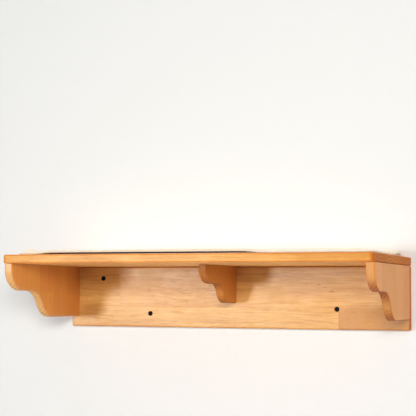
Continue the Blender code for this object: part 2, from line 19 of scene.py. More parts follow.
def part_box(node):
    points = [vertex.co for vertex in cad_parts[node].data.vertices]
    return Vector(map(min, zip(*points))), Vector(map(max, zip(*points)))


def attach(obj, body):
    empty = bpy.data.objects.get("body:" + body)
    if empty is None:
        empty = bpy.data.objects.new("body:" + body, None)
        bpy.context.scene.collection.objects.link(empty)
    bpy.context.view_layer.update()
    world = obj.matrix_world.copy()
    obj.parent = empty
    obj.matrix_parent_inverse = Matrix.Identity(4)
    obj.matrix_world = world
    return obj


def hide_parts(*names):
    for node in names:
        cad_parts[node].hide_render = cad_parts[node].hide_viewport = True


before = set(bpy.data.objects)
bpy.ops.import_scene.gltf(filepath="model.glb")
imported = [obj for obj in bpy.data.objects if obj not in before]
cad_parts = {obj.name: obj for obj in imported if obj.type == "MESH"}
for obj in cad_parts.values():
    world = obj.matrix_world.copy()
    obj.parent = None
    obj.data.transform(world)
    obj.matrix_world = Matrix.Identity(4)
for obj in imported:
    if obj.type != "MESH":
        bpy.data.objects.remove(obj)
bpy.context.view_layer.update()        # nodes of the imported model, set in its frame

log = logging.getLogger("wall_perch")

SHARP_ANGLE = math.radians(32)
FIT_GAP = 0.0003
CUT_OVERRUN = 0.001
COLOUR_A, COLOUR_B, COLOUR_RESULT = 6, 7, 2
RANDOM_NUMBER = 1

Socket = bpy.types.NodeSocket
Tree = bpy.types.NodeTree
Mesh = bpy.types.Mesh
Material = bpy.types.Material
Built = bmesh.types.BMesh
Triple = tuple[float, float, float]
Colour = Triple
Spot = tuple[float, float, float, float]
Profile = list[tuple[float, float]]
Box = tuple[Vector, Vector]


class Body(Enum):
    """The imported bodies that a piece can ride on."""

    SHELF = "shelf"
    MAT = "mat"


class Slot(Enum):
    """The record's finishes."""

    TOP_WOOD = "top_wood"
    BACK_WOOD = "back_wood"
    BRACKET_WOOD = "bracket_wood"
    DOWEL_WOOD = "dowel_wood"
    PLUSH = "plush"
    HOOK_TAPE = "hook_tape"
    LOOP_TAPE = "loop_tape"
    BLACK_STEEL = "black_steel"
    ZINC_STEEL = "zinc_steel"
    NYLON = "nylon"


class TreeKind(Enum):
    """The two kinds of node tree."""

    SHADER = "ShaderNodeTree"
    GEOMETRY = "GeometryNodeTree"


class SocketKind(Enum):
    """The kinds of value that a node group takes or gives."""

    FLOAT = "NodeSocketFloat"
    INT = "NodeSocketInt"
    VECTOR = "NodeSocketVector"
    GEOMETRY = "NodeSocketGeometry"
    MATERIAL = "NodeSocketMaterial"


class GrainRun(Enum):
    """How a board lies: rows give its grain, the way across its staves and its thickness."""

    TOP_BOARD = ((1, 0, 0), (0, 1, 0), (0, 0, 1))
    BACK_BOARD = ((1, 0, 0), (0, 0, 1), (0, -1, 0))
    BRACKET = ((0, 0, 1), (0, 1, 0), (-1, 0, 0))
    UPRIGHT = ((0, 0, 1), (1, 0, 0), (0, 1, 0))


class Wire:
    """A node's output, on which sums are written as on a number or a vector."""

    def __init__(self, graph: "Graph", socket: Socket) -> None:
        """Hold the socket and its graph."""
        self.graph, self.socket = graph, socket

    def __add__(self, other: "Value") -> "Wire":
        """Add."""
        return self.graph.calc("ADD", self, other)

    def __sub__(self, other: "Value") -> "Wire":
        """Subtract."""
        return self.graph.calc("SUBTRACT", self, other)

    def __rsub__(self, other: "Value") -> "Wire":
        """Subtract from a plain number."""
        return self.graph.calc("SUBTRACT", other, self)

    def __mul__(self, other: "Value") -> "Wire":
        """Multiply."""
        return self.graph.calc("MULTIPLY", self, other)

    def __truediv__(self, other: "Value") -> "Wire":
        """Divide."""
        return self.graph.calc("DIVIDE", self, other)

    def __rtruediv__(self, other: "Value") -> "Wire":
        """Divide a plain number."""
        return self.graph.calc("DIVIDE", other, self)

    def __abs__(self) -> "Wire":
        """Drop the sign."""
        return self.graph.calc("ABSOLUTE", self)

    def length(self) -> "Wire":
        """Give a vector's length."""
        return self.graph.calc("LENGTH", self)

    def xyz(self) -> list["Wire"]:
        """Split a vector into its three numbers."""
        return [Wire(self.graph, part) for part in self.graph.add("ShaderNodeSeparateXYZ", {0: self}).outputs]

    def noise(self, scale: float, detail: float = 2.0, roughness: float = 0.5) -> "Wire":
        """Give smooth random values round one half."""
        inputs = {"Vector": self, "Scale": scale, "Detail": detail, "Roughness": roughness}
        return self.graph.out("ShaderNodeTexNoise", inputs)

    def remap(self, low: "Value", high: "Value", to_low: "Value" = 0.0, to_high: "Value" = 1.0,
              smooth: bool = False) -> "Wire":
        """Map a number from one range to another and stop at its ends.

        Args:
            low: Start of its range.
            high: End of its range.
            to_low: Result at the start.
            to_high: Result at the end.
            smooth: Whether the result eases in and out.

        Returns:
            The mapped number.
        """
        inputs = {"Value": self, "From Min": low, "From Max": high, "To Min": to_low, "To Max": to_high}
        kind = "SMOOTHSTEP" if smooth else "LINEAR"
        return self.graph.out("ShaderNodeMapRange", inputs, interpolation_type=kind)


Value = Wire | Socket | float | int | str | tuple | Material
Inputs = dict[str | int, Value]


def is_vector(value: Value) -> bool:
    """Whether a value is a vector or a colour."""
    return isinstance(value, tuple) or isinstance(value, Wire) and value.socket.type in ("VECTOR", "RGBA")


def opaque(value: Value) -> Value:
    """Give a plain colour its fourth number; leave anything else as it is."""
    return (*value, 1.0) if isinstance(value, tuple) and len(value) == 3 else value


class Graph:
    """A node tree under construction."""

    def __init__(self, tree: Tree) -> None:
        """Start from an existing tree."""
        self.tree = tree

    def add(self, kind: str, inputs: Inputs | None = None, **settings: object) -> bpy.types.Node:
        """Add a node.

        Args:
            kind: The node's type name.
            inputs: Values or wires for its inputs, by name or number.
            settings: The node's own options.

        Returns:
            The new node.
        """
        node = self.tree.nodes.new(kind)
        for name, value in settings.items():
            setattr(node, name, value)
        for key, value in (inputs or {}).items():
            self.feed(node.inputs[key], value)
        return node

    def out(self, kind: str, inputs: Inputs | None = None, output: str | int = 0,
            **settings: object) -> Wire:
        """Add a node and give one of its outputs."""
        return Wire(self, self.add(kind, inputs, **settings).outputs[output])

    def feed(self, socket: Socket, value: Value) -> None:
        """Link a socket to another, or set its own value.

        Args:
            socket: The input.
            value: A wire, a socket or a plain value.
        """
        source = value.socket if isinstance(value, Wire) else value
        if isinstance(source, Socket):
            self.tree.links.new(source, socket)
        else:
            socket.default_value = source

    def calc(self, operation: str, *values: Value) -> Wire:
        """Work out a sum, on vectors where a value is one.

        Args:
            operation: The sum's name.
            values: What it works on.

        Returns:
            Its result, a number or a vector.
        """
        on_vectors = any(is_vector(value) for value in values)
        kind = "ShaderNodeVectorMath" if on_vectors else "ShaderNodeMath"
        output = "Value" if operation in ("LENGTH", "DISTANCE", "DOT_PRODUCT") else 0
        return self.out(kind, dict(enumerate(values)), output, operation=operation)

    def larger(self, first: Value, second: Value) -> Wire:
        """Give the larger of two numbers."""
        return self.calc("MAXIMUM", first, second)

    def mix(self, factor: Value, first: Value, second: Value, blend: str = "MIX") -> Wire:
        """Blend two colours."""
        inputs = {0: factor, COLOUR_A: opaque(first), COLOUR_B: opaque(second)}
        return self.out("ShaderNodeMix", inputs, COLOUR_RESULT, data_type="RGBA", blend_type=blend)

    def point(self, x: Value = 0.0, y: Value = 0.0, z: Value = 0.0) -> Wire:
        """Join three numbers into a vector."""
        return self.out("ShaderNodeCombineXYZ", {0: x, 1: y, 2: z})


class Group(Graph):
    """A node group with named inputs and outputs."""

    def __init__(self, name: str, takes: dict[str, SocketKind], gives: dict[str, SocketKind],
                 kind: TreeKind = TreeKind.SHADER) -> None:
        """Make an empty group.

        Args:
            name: The group's name.
            takes: Its inputs' names and kinds.
            gives: Its outputs' names and kinds.
            kind: Shading or geometry.
        """
        super().__init__(bpy.data.node_groups.new(name, kind.value))
        for way, sockets in (("INPUT", takes), ("OUTPUT", gives)):
            for label, socket_kind in sockets.items():
                self.tree.interface.new_socket(label, in_out=way, socket_type=socket_kind.value)
        source = self.add("NodeGroupInput")
        self.sink = self.add("NodeGroupOutput")
        self.taken = [Wire(self, source.outputs[label]) for label in takes]

    def give(self, **values: Value) -> None:
        """Feed the group's outputs, by name."""
        for name, value in values.items():
            self.feed(self.sink.inputs[name], value)


class Shaping(Group):
    """A geometry tree that takes a material and ends in real geometry that has it."""

    def __init__(self, name: str, takes: dict[str, SocketKind]) -> None:
        """Make an empty tree.

        Args:
            name: The tree's name.
            takes: Its inputs' names and kinds, but for the material.
        """
        super().__init__(name, takes | {"Material": SocketKind.MATERIAL}, {"Geometry": SocketKind.GEOMETRY},
                         TreeKind.GEOMETRY)
        self.material = self.taken.pop()
        self.here = self.out("GeometryNodeInputPosition")

    def finish(self, geometry: Wire) -> Tree:
        """End the tree in a geometry.

        Args:
            geometry: What it gives, once made real and given the material.

        Returns:
            The tree.
        """
        real = self.out("GeometryNodeRealizeInstances", {"Geometry": geometry})
        self.give(Geometry=self.out("GeometryNodeSetMaterial", {"Geometry": real, "Material": self.material}))
        return self.tree

    def moved(self, geometry: Wire, place: Wire, way: str = "Position") -> Wire:
        """Set each point's position, or its Offset."""
        return self.out("GeometryNodeSetPosition", {"Geometry": geometry, way: place})

    def joined(self, *pieces: Wire) -> Wire:
        """Join several geometries.

        Args:
            pieces: The geometries, in order.

        Returns:
            All of them as one.
        """
        join = self.add("GeometryNodeJoinGeometry")
        for piece in pieces:
            self.feed(join.inputs[0], piece)
        return Wire(self, join.outputs[0])

    def rod(self, sides: Wire, rings: Wire, length: Wire) -> Wire:
        """Make a cylinder in many rings, to be turned down."""
        inputs = {"Vertices": sides, "Side Segments": rings, "Radius": 1.0, "Depth": length}
        return self.out("GeometryNodeMeshCylinder", inputs)

    def turned(self, rod: Wire, radius: Wire, height: Wire) -> Wire:
        """Bring each point of a rod to a radius and a height.

        Args:
            rod: The rod.
            radius: The radius at each point.
            height: The height of each point.

        Returns:
            The turned rod.
        """
        x, y, _ = self.here.xyz()
        across = self.calc("NORMALIZE", self.point(x, y))
        return self.moved(rod, across * self.point(radius, radius) + self.point(0.0, 0.0, height))

    def random(self, low: Value, high: Value, seed: Value) -> Wire:
        """Give each element a random vector between two."""
        inputs = {"Min": low, "Max": high, "Seed": seed}
        return self.out("FunctionNodeRandomValue", inputs, data_type="FLOAT_VECTOR")

    def planted(self, points: Value, piece: Wire, **inputs: Value) -> Wire:
        """Set a copy of a piece on each point, with the Rotation and Scale given."""
        return self.out("GeometryNodeInstanceOnPoints", {"Points": points, "Instance": piece} | inputs)

    def marked(self, geometry: Wire, name: str, value: Wire, domain: str) -> Wire:
        """Store a number on each point or each copy."""
        inputs = {"Geometry": geometry, "Name": name, "Value": value}
        return self.out("GeometryNodeStoreNamedAttribute", inputs, data_type="FLOAT", domain=domain)

    def in_lots(self, copies: Wire, seed: Wire) -> Wire:
        """Store a random number on each copy, as its lot."""
        lot = self.out("FunctionNodeRandomValue", {"Seed": seed + 2.0}, RANDOM_NUMBER, data_type="FLOAT")
        return self.marked(copies, "lot", lot, "INSTANCE")


class Dress(Graph):
    """A material under construction, on Object coordinates."""

    def __init__(self, name: str) -> None:
        """Start a Principled material.

        Args:
            name: The material's name.
        """
        self.material = bpy.data.materials.new(name)
        self.material.use_nodes = True
        super().__init__(self.material.node_tree)
        self.shader = self.tree.nodes["Principled BSDF"]
        self.place = self.out("ShaderNodeTexCoord", output="Object")

    def shade(self, values: dict[str, Value]) -> None:
        """Feed the Principled shader's sockets, by name."""
        for name, value in values.items():
            self.feed(self.shader.inputs[name], opaque(value))

    def effect(self, group: Tree, **values: Value) -> dict[str, Wire]:
        """Place a shared effect.

        Args:
            group: The effect.
            values: Its inputs, by name, with an underscore for a space.

        Returns:
            Its outputs, by name.
        """
        inputs = {name.replace("_", " "): value for name, value in values.items()}
        node = self.add("ShaderNodeGroup", inputs, node_tree=group)
        return {output.name: Wire(self, output) for output in node.outputs}

    def bump(self, height: Value, distance: float, strength: float = 1.0) -> None:
        """Raise the surface by a height, in units of a distance."""
        inputs = {"Height": height, "Distance": distance, "Strength": strength}
        self.shade({"Normal": self.out("ShaderNodeBump", inputs)})

    def laid(self, run: GrainRun, origin: Vector) -> Wire:
        """Give coordinates along a board's grain, across its staves and through it.

        Args:
            run: How the board lies.
            origin: Where the coordinates start.

        Returns:
            The coordinates.
        """
        turn = Matrix(run.value)
        inputs = {"Vector": self.place, "Rotation": tuple(turn.to_euler()), "Location": tuple(turn @ -origin)}
        return self.out("ShaderNodeMapping", inputs)

    def attribute(self, name: str) -> Wire:
        """Give a number stored on the mesh."""
        return self.out("ShaderNodeAttribute", output="Fac", attribute_name=name)


def floats(*names: str) -> dict[str, SocketKind]:
    """Name several plain numbers."""
    return dict.fromkeys(names, SocketKind.FLOAT)


@cache
def timber_figure() -> Tree:
    """Edge-glued staves with growth rings, streaks and pores.

    Returns:
        A group for lacquered boards and bare dowels.
    """
    takes = {"Vector": SocketKind.VECTOR}
    takes |= floats("Stave Width", "Stave Length", "Joint Shift", "Ring Spacing", "Seed")
    gives = floats("Tone", "Warmth", "Rings", "Pores", "Lines", "Height", "Row", "Column")
    g = Group("timber_figure", takes, gives)
    vector, width, length, shift, spacing, seed = g.taken
    along, across, through = vector.xyz()
    row_at = across / width
    row = g.calc("FLOOR", row_at)
    column_at = (row * shift + along) / length
    column = g.calc("FLOOR", column_at)
    cell = {"Vector": g.point(row, column, seed)}
    lot = g.out("ShaderNodeTexWhiteNoise", cell, "Color", noise_dimensions="3D")
    first, second, third = lot.xyz()
    own = lot * (17.0, 23.0, 29.0)
    drift = (vector * (8.0, 17.0, 17.0) + own).noise(1.0, 1.0)
    waved = vector + g.point(0.0, drift * 0.014 - 0.007)

    def fibres(per_metre_along: float, per_metre_across: float, detail: float) -> Wire:
        """Noise drawn out along the grain, different in each stave."""
        return (waved * (per_metre_along, per_metre_across, per_metre_across) + own).noise(1.0, detail, 0.6)

    def line(at: Wire, size: Wire) -> Wire:
        """A mask of the thin glue lines between rows or columns."""
        return (g.calc("PINGPONG", at, 0.5) * size).remap(0.0001, 0.0004, 1.0, 0.0, smooth=True)

    from_middle = across - (row + 0.5) * width
    sway = (fibres(2.6, 2.0, 1.0) - 0.5) * 0.02
    pith_across, pith_depth = first * 0.13 - 0.065, second * 0.05 + 0.012
    from_pith = g.point(sway + from_middle - pith_across, through + pith_depth).length()
    rings = g.calc("SINE", from_pith / spacing * math.tau) * 0.5 + 0.5
    fine, streaks, clouds = fibres(24.0, 460.0, 3.0), fibres(11.0, 210.0, 3.0), fibres(9.0, 30.0, 2.0)
    tone = rings * 0.06 + streaks * 0.40 + clouds * 0.34 + fine * 0.48 + (third - 0.5) * 0.20
    pores = fibres(85.0, 800.0, 1.0).remap(0.56, 0.70) * clouds.remap(0.35, 0.65, 0.3, 1.0)
    lines = g.larger(line(row_at, width), line(column_at, length))
    g.give(Tone=tone, Warmth=second, Rings=rings, Pores=pores, Lines=lines,
           Height=fine * 0.35 - g.larger(pores, lines), Row=row, Column=column)
    return g.tree


@cache
def handling_marks() -> Tree:
    """Fine rubs and scratches that handling leaves.

    Returns:
        A group for lacquer, steel and nylon.
    """
    takes = {"Vector": SocketKind.VECTOR} | floats("Scale")
    g = Group("handling_marks", takes, floats("Rubs", "Scratches"))
    vector, scale = g.taken
    scaled = vector * g.point(scale, scale, scale)
    rubs = scaled.noise(1.0, 3.0, 0.6).remap(0.42, 0.68, smooth=True)
    bent = scaled + g.point(rubs, rubs) * (0.3, 0.2, 0.0)
    cells = g.out("ShaderNodeTexVoronoi", {"Vector": bent * (2.0, 9.0, 5.0), "Scale": 1.0}, "Distance",
                  feature="DISTANCE_TO_EDGE")
    broken = scaled.noise(2.3, 1.0).remap(0.52, 0.60)
    g.give(Rubs=rubs, Scratches=cells.remap(0.0, 0.02, 1.0, 0.0) * broken)
    return g.tree


@cache
def plain_weave() -> Tree:
    """Over-and-under yarns of a plain weave.

    Returns:
        A group for cloth and tape backings.
    """
    takes = {"Vector": SocketKind.VECTOR} | floats("Pitch")
    g = Group("plain_weave", takes, floats("Height", "Gaps"))
    vector, pitch = g.taken
    x, y, _ = vector.xyz()
    warp, weft = [abs(g.calc("SINE", place * (math.pi / pitch))) for place in (x, y)]
    checks = g.out("ShaderNodeTexChecker", {"Vector": vector, "Scale": 1.0 / pitch}, "Fac")
    height = vector.noise(4000.0, 1.0) * 0.2 + (warp * checks + weft * (1.0 - checks))
    g.give(Height=height, Gaps=(warp + weft).remap(0.15, 0.5, 1.0, 0.0))
    return g.tree


@cache
def fibre_shade() -> Tree:
    """How dark one fibre is: painted shade darker towards its root, and different from its neighbours.

    Returns:
        A group for plush, loops and sewing thread.
    """
    takes = {"Vector": SocketKind.VECTOR} | floats("Tip", "Lot")
    g = Group("fibre_shade", takes, floats("Shade"))
    vector, tip, lot = g.taken
    # The tip term darkens each tuft towards its root: painted shade within the pile.
    g.give(Shade=lot * 0.35 + vector.noise(28.0, 2.0) * 0.5 + tip.remap(0.0, 0.75, 0.55, 0.0))
    return g.tree


@dataclass(frozen=True)
class Lacquered:
    """Clear-lacquered timber, glued up from staves."""

    name: str
    run: GrainRun
    seed: float = 0.0
    origin: Triple = (0.0, 0.0, 0.0)
    stave_width: float = 0.068
    stave_length: float = 0.52
    joint_shift: float = 0.31
    ring_spacing: float = 0.0052
    amber_corners: float = 1.0
    figure_share: float = 1.0
    gloss: float = 0.25
    specular: float = 0.3
    roughness: float = 0.40
    deeper_staves: tuple[tuple[int, int, float], ...] = ()
    deeper_end: Triple = (9.0, 10.0, 0.0)
    spots: tuple[Spot, ...] = ()
    pale: Colour = (0.88, 0.42, 0.120)
    deep: Colour = (0.66, 0.26, 0.055)
    yellow_tint: Colour = (1.0, 1.03, 0.95)
    pink_tint: Colour = (1.0, 0.98, 1.02)
    end_tint: Colour = (0.80, 0.50, 0.36)
    edge_tint: Colour = (1.0, 1.0, 1.0)
    rear_tint: Colour = (1.0, 1.0, 1.0)
    ring_tint: Colour = (0.78, 0.66, 0.58)
    amber_tint: Colour = (1.0, 0.70, 0.34)
    pore_colour: Colour = (0.32, 0.105, 0.022)
    pore_share: float = 0.32
    line_share: float = 0.2
    marks_per_metre: float = 38.0
    relief: float = 0.00012

    def material(self) -> Material:
        """Build the material.

        Returns:
            Timber with staves, rings, pores, darker end grain, and round-overs darkened amber as painted
            shade.
        """
        d = Dress(self.name)
        vector = d.laid(self.run, Vector(self.origin))
        figure = d.effect(timber_figure(), Vector=vector, Stave_Width=self.stave_width,
                          Stave_Length=self.stave_length, Joint_Shift=self.joint_shift,
                          Ring_Spacing=self.ring_spacing, Seed=self.seed)
        marks = d.effect(handling_marks(), Vector=d.place, Scale=self.marks_per_metre)
        normal = d.out("ShaderNodeNewGeometry", output="Normal")
        along, across, facing = [d.calc("DOT_PRODUCT", normal, row) for row in self.run.value]
        along, across, through = abs(along), abs(across), abs(facing)
        ends = along.remap(0.45, 0.95, smooth=True)
        base = d.mix(self.tone(d, vector, figure), self.pale, self.deep)
        base = d.mix(1.0, base, d.mix(figure["Warmth"], self.yellow_tint, self.pink_tint), "MULTIPLY")
        pores = figure["Pores"] * (self.pore_share * min(self.figure_share, 1.0))
        dark = d.larger(pores, figure["Lines"] * self.line_share)
        base = d.mix(dark, base, self.pore_colour)
        # Each spot pulls the colour towards the pores' colour: small spots are flecks, a wide one is a
        # painted shadow.
        for along_place, across_place, spread, strength in self.spots:
            away = d.calc("DISTANCE", vector * (0.5, 1.0, 0.0), (along_place * 0.5, across_place, 0.0))
            base = d.mix(away.remap(spread * 0.2, spread, strength, 0.0, smooth=True), base, self.pore_colour)
        for mask, tint in ((ends, self.end_tint), (through.remap(0.9, 0.4, smooth=True), self.edge_tint),
                           (facing.remap(-0.4, -0.9, smooth=True), self.rear_tint),
                           (ends * figure["Rings"].remap(0.3, 1.0), self.ring_tint),
                           (self.rounding(d, along, across, through), self.amber_tint)):
            base = d.mix(mask, base, tint, "MULTIPLY")
        rough = figure["Pores"] * 0.12 + (ends * 0.3 + (marks["Rubs"] * 0.08 + self.roughness))
        d.shade({"Base Color": base, "Roughness": rough, "Coat Roughness": self.roughness - 0.08,
                 "Specular IOR Level": self.specular, "Coat Weight": ends * (-0.8 * self.gloss) + self.gloss})
        d.bump(marks["Scratches"] * -0.25 + figure["Height"], self.relief, 0.6)
        return d.material

    def tone(self, d: Dress, vector: Wire, figure: dict[str, Wire]) -> Wire:
        """How deep the timber's colour is, from none to full.

        Args:
            d: The material.
            vector: The board's coordinates.
            figure: The timber figure's outputs.

        Returns:
            The tone, with the chosen staves and the chosen end of the board deeper.
        """
        middle = 0.5 * (1 - self.figure_share)
        tone = figure["Tone"].remap(0.44, 0.84, middle, 1 - middle)
        for row, column, share in self.deeper_staves:
            in_row, in_column = [d.calc("COMPARE", figure[name], number, 0.5)
                                 for name, number in (("Row", row), ("Column", column))]
            tone = in_row * in_column * share + tone
        start, end, share = self.deeper_end
        return vector.xyz()[0].remap(start, end, smooth=True) * share + tone

    def rounding(self, d: Dress, along: Wire, across: Wire, through: Wire) -> Wire:
        """A mask of painted shade on the round-overs and on a board's round corners.

        Args:
            d: The material.
            along: How squarely the surface faces along the grain.
            across: How squarely it faces across the grain.
            through: How squarely it faces through the board.

        Returns:
            The mask.
        """
        edgewise = d.point(along, across).length()
        over = d.larger(edgewise, through).remap(0.995, 0.90, smooth=True)
        corner = (d.larger(along, across) / edgewise).remap(0.99, 0.80, smooth=True)
        return d.larger(over, corner * through.remap(0.6, 0.3) * self.amber_corners)


@dataclass(frozen=True)
class BareBeech:
    """Planed beech, unfinished, for dowels."""

    pale: Colour = (0.82, 0.64, 0.42)
    deep: Colour = (0.62, 0.43, 0.25)
    ring_spacing: float = 0.0018
    seed: float = 5.0
    roughness: float = 0.62
    relief: float = 0.0001

    def material(self) -> Material:
        """Build the material.

        Returns:
            Pale beech with short dark flecks.
        """
        d = Dress("bare_beech")
        figure = d.effect(timber_figure(), Vector=d.laid(GrainRun.UPRIGHT, Vector()), Stave_Width=1.0,
                          Stave_Length=1.0, Joint_Shift=0.0, Ring_Spacing=self.ring_spacing, Seed=self.seed)
        base = d.mix(figure["Tone"].remap(0.40, 0.90), self.pale, self.deep)
        d.shade({"Base Color": d.mix(figure["Pores"] * 0.5, base, self.deep),
                 "Roughness": figure["Pores"] * 0.15 + self.roughness})
        d.bump(figure["Height"], self.relief, 0.6)
        return d.material


@dataclass(frozen=True)
class Fibre:
    """Soft fibres: the mat's pile, its cloth, the loops of the tape or sewing thread."""

    name: str
    pale: Colour
    deep: Colour
    roughness: float = 0.9
    sheen: float = 0.35
    weave_pitch: float = 0.0
    relief: float = 0.0002

    def material(self) -> Material:
        """Build the material.

        Returns:
            A soft, matt material, with a weave where it has a pitch.
        """
        d = Dress(self.name)
        fibre = d.effect(fibre_shade(), Vector=d.place, Tip=d.attribute("tip"), Lot=d.attribute("lot"))
        base = d.mix(fibre["Shade"].remap(0.1, 1.1), self.pale, self.deep)
        rough = d.place.noise(300.0).remap(0.3, 0.7, self.roughness - 0.06, self.roughness + 0.06)
        height = d.place.noise(1400.0, 3.0)
        if self.weave_pitch:
            weave = d.effect(plain_weave(), Vector=d.place, Pitch=self.weave_pitch)
            base = d.mix(weave["Gaps"] * 0.6, base, self.deep)
            height = weave["Height"]
        d.shade({"Base Color": base, "Roughness": rough, "Sheen Weight": self.sheen, "Sheen Roughness": 0.45,
                 "Specular IOR Level": 0.25})
        d.bump(height, self.relief, 0.7)
        return d.material


@dataclass(frozen=True)
class Steel:
    """Screw steel under a thin coating that rubs off where it is handled."""

    name: str
    coating: Colour
    rubbed: Colour
    metallic: float
    roughness: float
    specular: float = 0.5
    marks_per_metre: float = 420.0
    tooth_per_metre: float = 5200.0
    relief: float = 0.00002

    def material(self) -> Material:
        """Build the material.

        Returns:
            Coated steel with rubs, scratches and a fine tooth.
        """
        d = Dress(self.name)
        marks = d.effect(handling_marks(), Vector=d.place, Scale=self.marks_per_metre)
        tooth = d.place.noise(self.tooth_per_metre)
        worn = d.larger(marks["Scratches"], marks["Rubs"] * 0.35) * 0.6
        d.shade({"Base Color": d.mix(worn, self.coating, self.rubbed), "Metallic": self.metallic,
                 "Roughness": tooth * 0.16 + (marks["Rubs"] * -0.10 + self.roughness),
                 "Specular IOR Level": self.specular})
        d.bump(marks["Scratches"] * -0.6 + tooth, self.relief, 0.6)
        return d.material


@dataclass(frozen=True)
class MouldedNylon:
    """Nylon as it comes from the mould."""

    name: str
    colour: Colour
    mark: Colour
    roughness: float = 0.48
    marks_per_metre: float = 240.0
    tooth_per_metre: float = 2600.0
    relief: float = 0.00003

    def material(self) -> Material:
        """Build the material.

        Returns:
            Satin nylon with flow marks and rubs.
        """
        d = Dress(self.name)
        marks = d.effect(handling_marks(), Vector=d.place, Scale=self.marks_per_metre)
        flow = (d.place * (900.0, 160.0, 900.0)).noise(1.0)
        d.shade({"Base Color": d.mix(flow * 0.35 + marks["Scratches"] * 0.4, self.colour, self.mark),
                 "Roughness": marks["Rubs"] * 0.12 + self.roughness})
        d.bump(flow + d.place.noise(self.tooth_per_metre), self.relief, 0.5)
        return d.material


def carrier_for(mesh: Mesh) -> bpy.types.Object:
    """Put a mesh on a working object.

    Args:
        mesh: The mesh.

    Returns:
        The object.
    """
    carrier = bpy.data.objects.new(mesh.name + "_carrier", mesh)
    bpy.context.scene.collection.objects.link(carrier)
    return carrier


def evaluated_mesh(carrier: bpy.types.Object) -> Mesh:
    """Turn an object with its modifiers into a plain mesh, and remove the object.

    Args:
        carrier: The working object.

    Returns:
        The mesh.
    """
    bpy.context.view_layer.update()
    evaluated = carrier.evaluated_get(bpy.context.evaluated_depsgraph_get())
    mesh = bpy.data.meshes.new_from_object(evaluated)
    bpy.data.objects.remove(carrier, do_unlink=True)
    return mesh


def shaded(mesh: Mesh) -> Mesh:
    """Shade a mesh smooth but for its sharp edges.

    Args:
        mesh: The mesh.

    Returns:
        The same mesh.
    """
    mesh.shade_smooth()
    mesh.set_sharp_from_angle(angle=SHARP_ANGLE)
    return mesh


def named(sizes: object) -> dict[str, object]:
    """Give a class's sizes under the names of the trees' inputs."""
    return {key.replace("_", " ").title(): value for key, value in vars(sizes).items()}


def grown(tree: Tree, values: dict[str, object], base: Mesh | None = None) -> Mesh:
    """Run a geometry tree and keep its result as a plain mesh.

    Args:
        tree: The tree, whose inputs are set by their identifiers.
        values: The inputs' values, by name.
        base: The mesh that the tree starts from, if it needs one.

    Returns:
        The evaluated mesh, smooth but for its sharp edges.
    """
    carrier = carrier_for(base or bpy.data.meshes.new(tree.name))
    modifier = carrier.modifiers.new(tree.name, "NODES")
    modifier.node_group = tree
    for item in tree.interface.items_tree:
        if item.in_out == "INPUT" and item.name in values:
            value = values[item.name]
            is_float = item.socket_type == SocketKind.FLOAT.value
            modifier[item.identifier] = float(value) if is_float else value
    return shaded(evaluated_mesh(carrier))


def present(name: str, mesh: Mesh, body: Body, slot: Slot, *nodes: str) -> bpy.types.Object:
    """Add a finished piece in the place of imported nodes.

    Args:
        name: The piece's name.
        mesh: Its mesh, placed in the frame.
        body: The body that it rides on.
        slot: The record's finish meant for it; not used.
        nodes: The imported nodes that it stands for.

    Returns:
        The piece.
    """
    mesh.name = name
    piece = bpy.data.objects.new(name, mesh)
    bpy.context.scene.collection.objects.link(piece)
    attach(piece, body.value)
    if nodes:
        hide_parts(*nodes)
    log.info("%s: %d faces, on %s", name, len(mesh.polygons), body.value)
    return piece


def placed(mesh: Mesh, place: Matrix) -> Mesh:
    """Copy a mesh to a place.

    Args:
        mesh: The mesh.
        place: Where the copy goes.

    Returns:
        The copy.
    """
    copy = mesh.copy()
    copy.transform(place)
    return copy


def quarter_turns(count: int, axis: str) -> Matrix:
    """A turn by right angles about an axis."""
    return Matrix.Rotation(count * math.pi / 2, 4, axis)


def arc(centre: tuple[float, float], radii: tuple[float, float], start: float, steps: int) -> Profile:
    """Points along a quarter of a circle or an oval.

    Args:
        centre: Middle of the arc.
        radii: Its two half widths.
        start: Its first angle, in degrees.
        steps: Number of chords.

    Returns:
        The points, with both ends.
    """
    angles = [math.radians(start + 90 * step / steps) for step in range(steps + 1)]
    return [(centre[0] + radii[0] * math.cos(a), centre[1] + radii[1] * math.sin(a)) for a in angles]


def add_turned(bm: Built, profile: Profile, sides: int, place: Matrix, tube: bool = False) -> None:
    """Add a solid turned about Z.

    Args:
        bm: The mesh that it joins.
        profile: Its (radius, height) from top to bottom; a tube's goes down its outside and up its bore.
        sides: Sides of the circle.
        place: Where it goes.
        tube: Whether the profile closes on itself.
    """
    rings = []
    for radius, height in profile:
        angles = [math.tau * step / sides for step in range(sides if radius > 0 else 1)]
        rings.append([bm.verts.new(place @ Vector((radius * math.cos(a), radius * math.sin(a), height)))
                      for a in angles])
    for upper, lower in zip(rings, rings[1:] + rings[:1] if tube else rings[1:]):
        for step in range(sides):
            after = (step + 1) % sides
            corners = [upper[step % len(upper)], lower[step % len(lower)],
                       lower[after % len(lower)], upper[after % len(upper)]]
            bm.faces.new(dict.fromkeys(corners))


def mesh_from(name: str, bm: Built) -> Mesh:
    """Turn a mesh under construction into a finished one.

    Args:
        name: The mesh's name.
        bm: The mesh under construction, which is used up.

    Returns:
        The finished mesh.
    """
    mesh = bpy.data.meshes.new(name)
    bm.to_mesh(mesh)
    bm.free()
    return mesh


def smoothed_cut(mesh: Mesh, cutters: Built) -> Mesh:
    """Take solids out of a mesh, and shade it with its flat faces kept flat up to their round-overs.

    Args:
        mesh: The mesh.
        cutters: The solids.

    Returns:
        The cut mesh.
    """
    tool = carrier_for(mesh_from(mesh.name + "_cuts", cutters))
    carrier = carrier_for(mesh)
    boolean = carrier.modifiers.new("cuts", "BOOLEAN")
    boolean.operation = "DIFFERENCE"
    boolean.object = tool
    result = shaded(evaluated_mesh(carrier))
    bpy.data.objects.remove(tool, do_unlink=True)
    carrier = carrier_for(result)
    carrier.modifiers.new("flat_faces", "WEIGHTED_NORMAL").keep_sharp = True
    return evaluated_mesh(carrier)


@dataclass
class Drilling:
    """A turned hole: its (radius, height) profile and where it starts."""

    profile: Profile
    place: Matrix


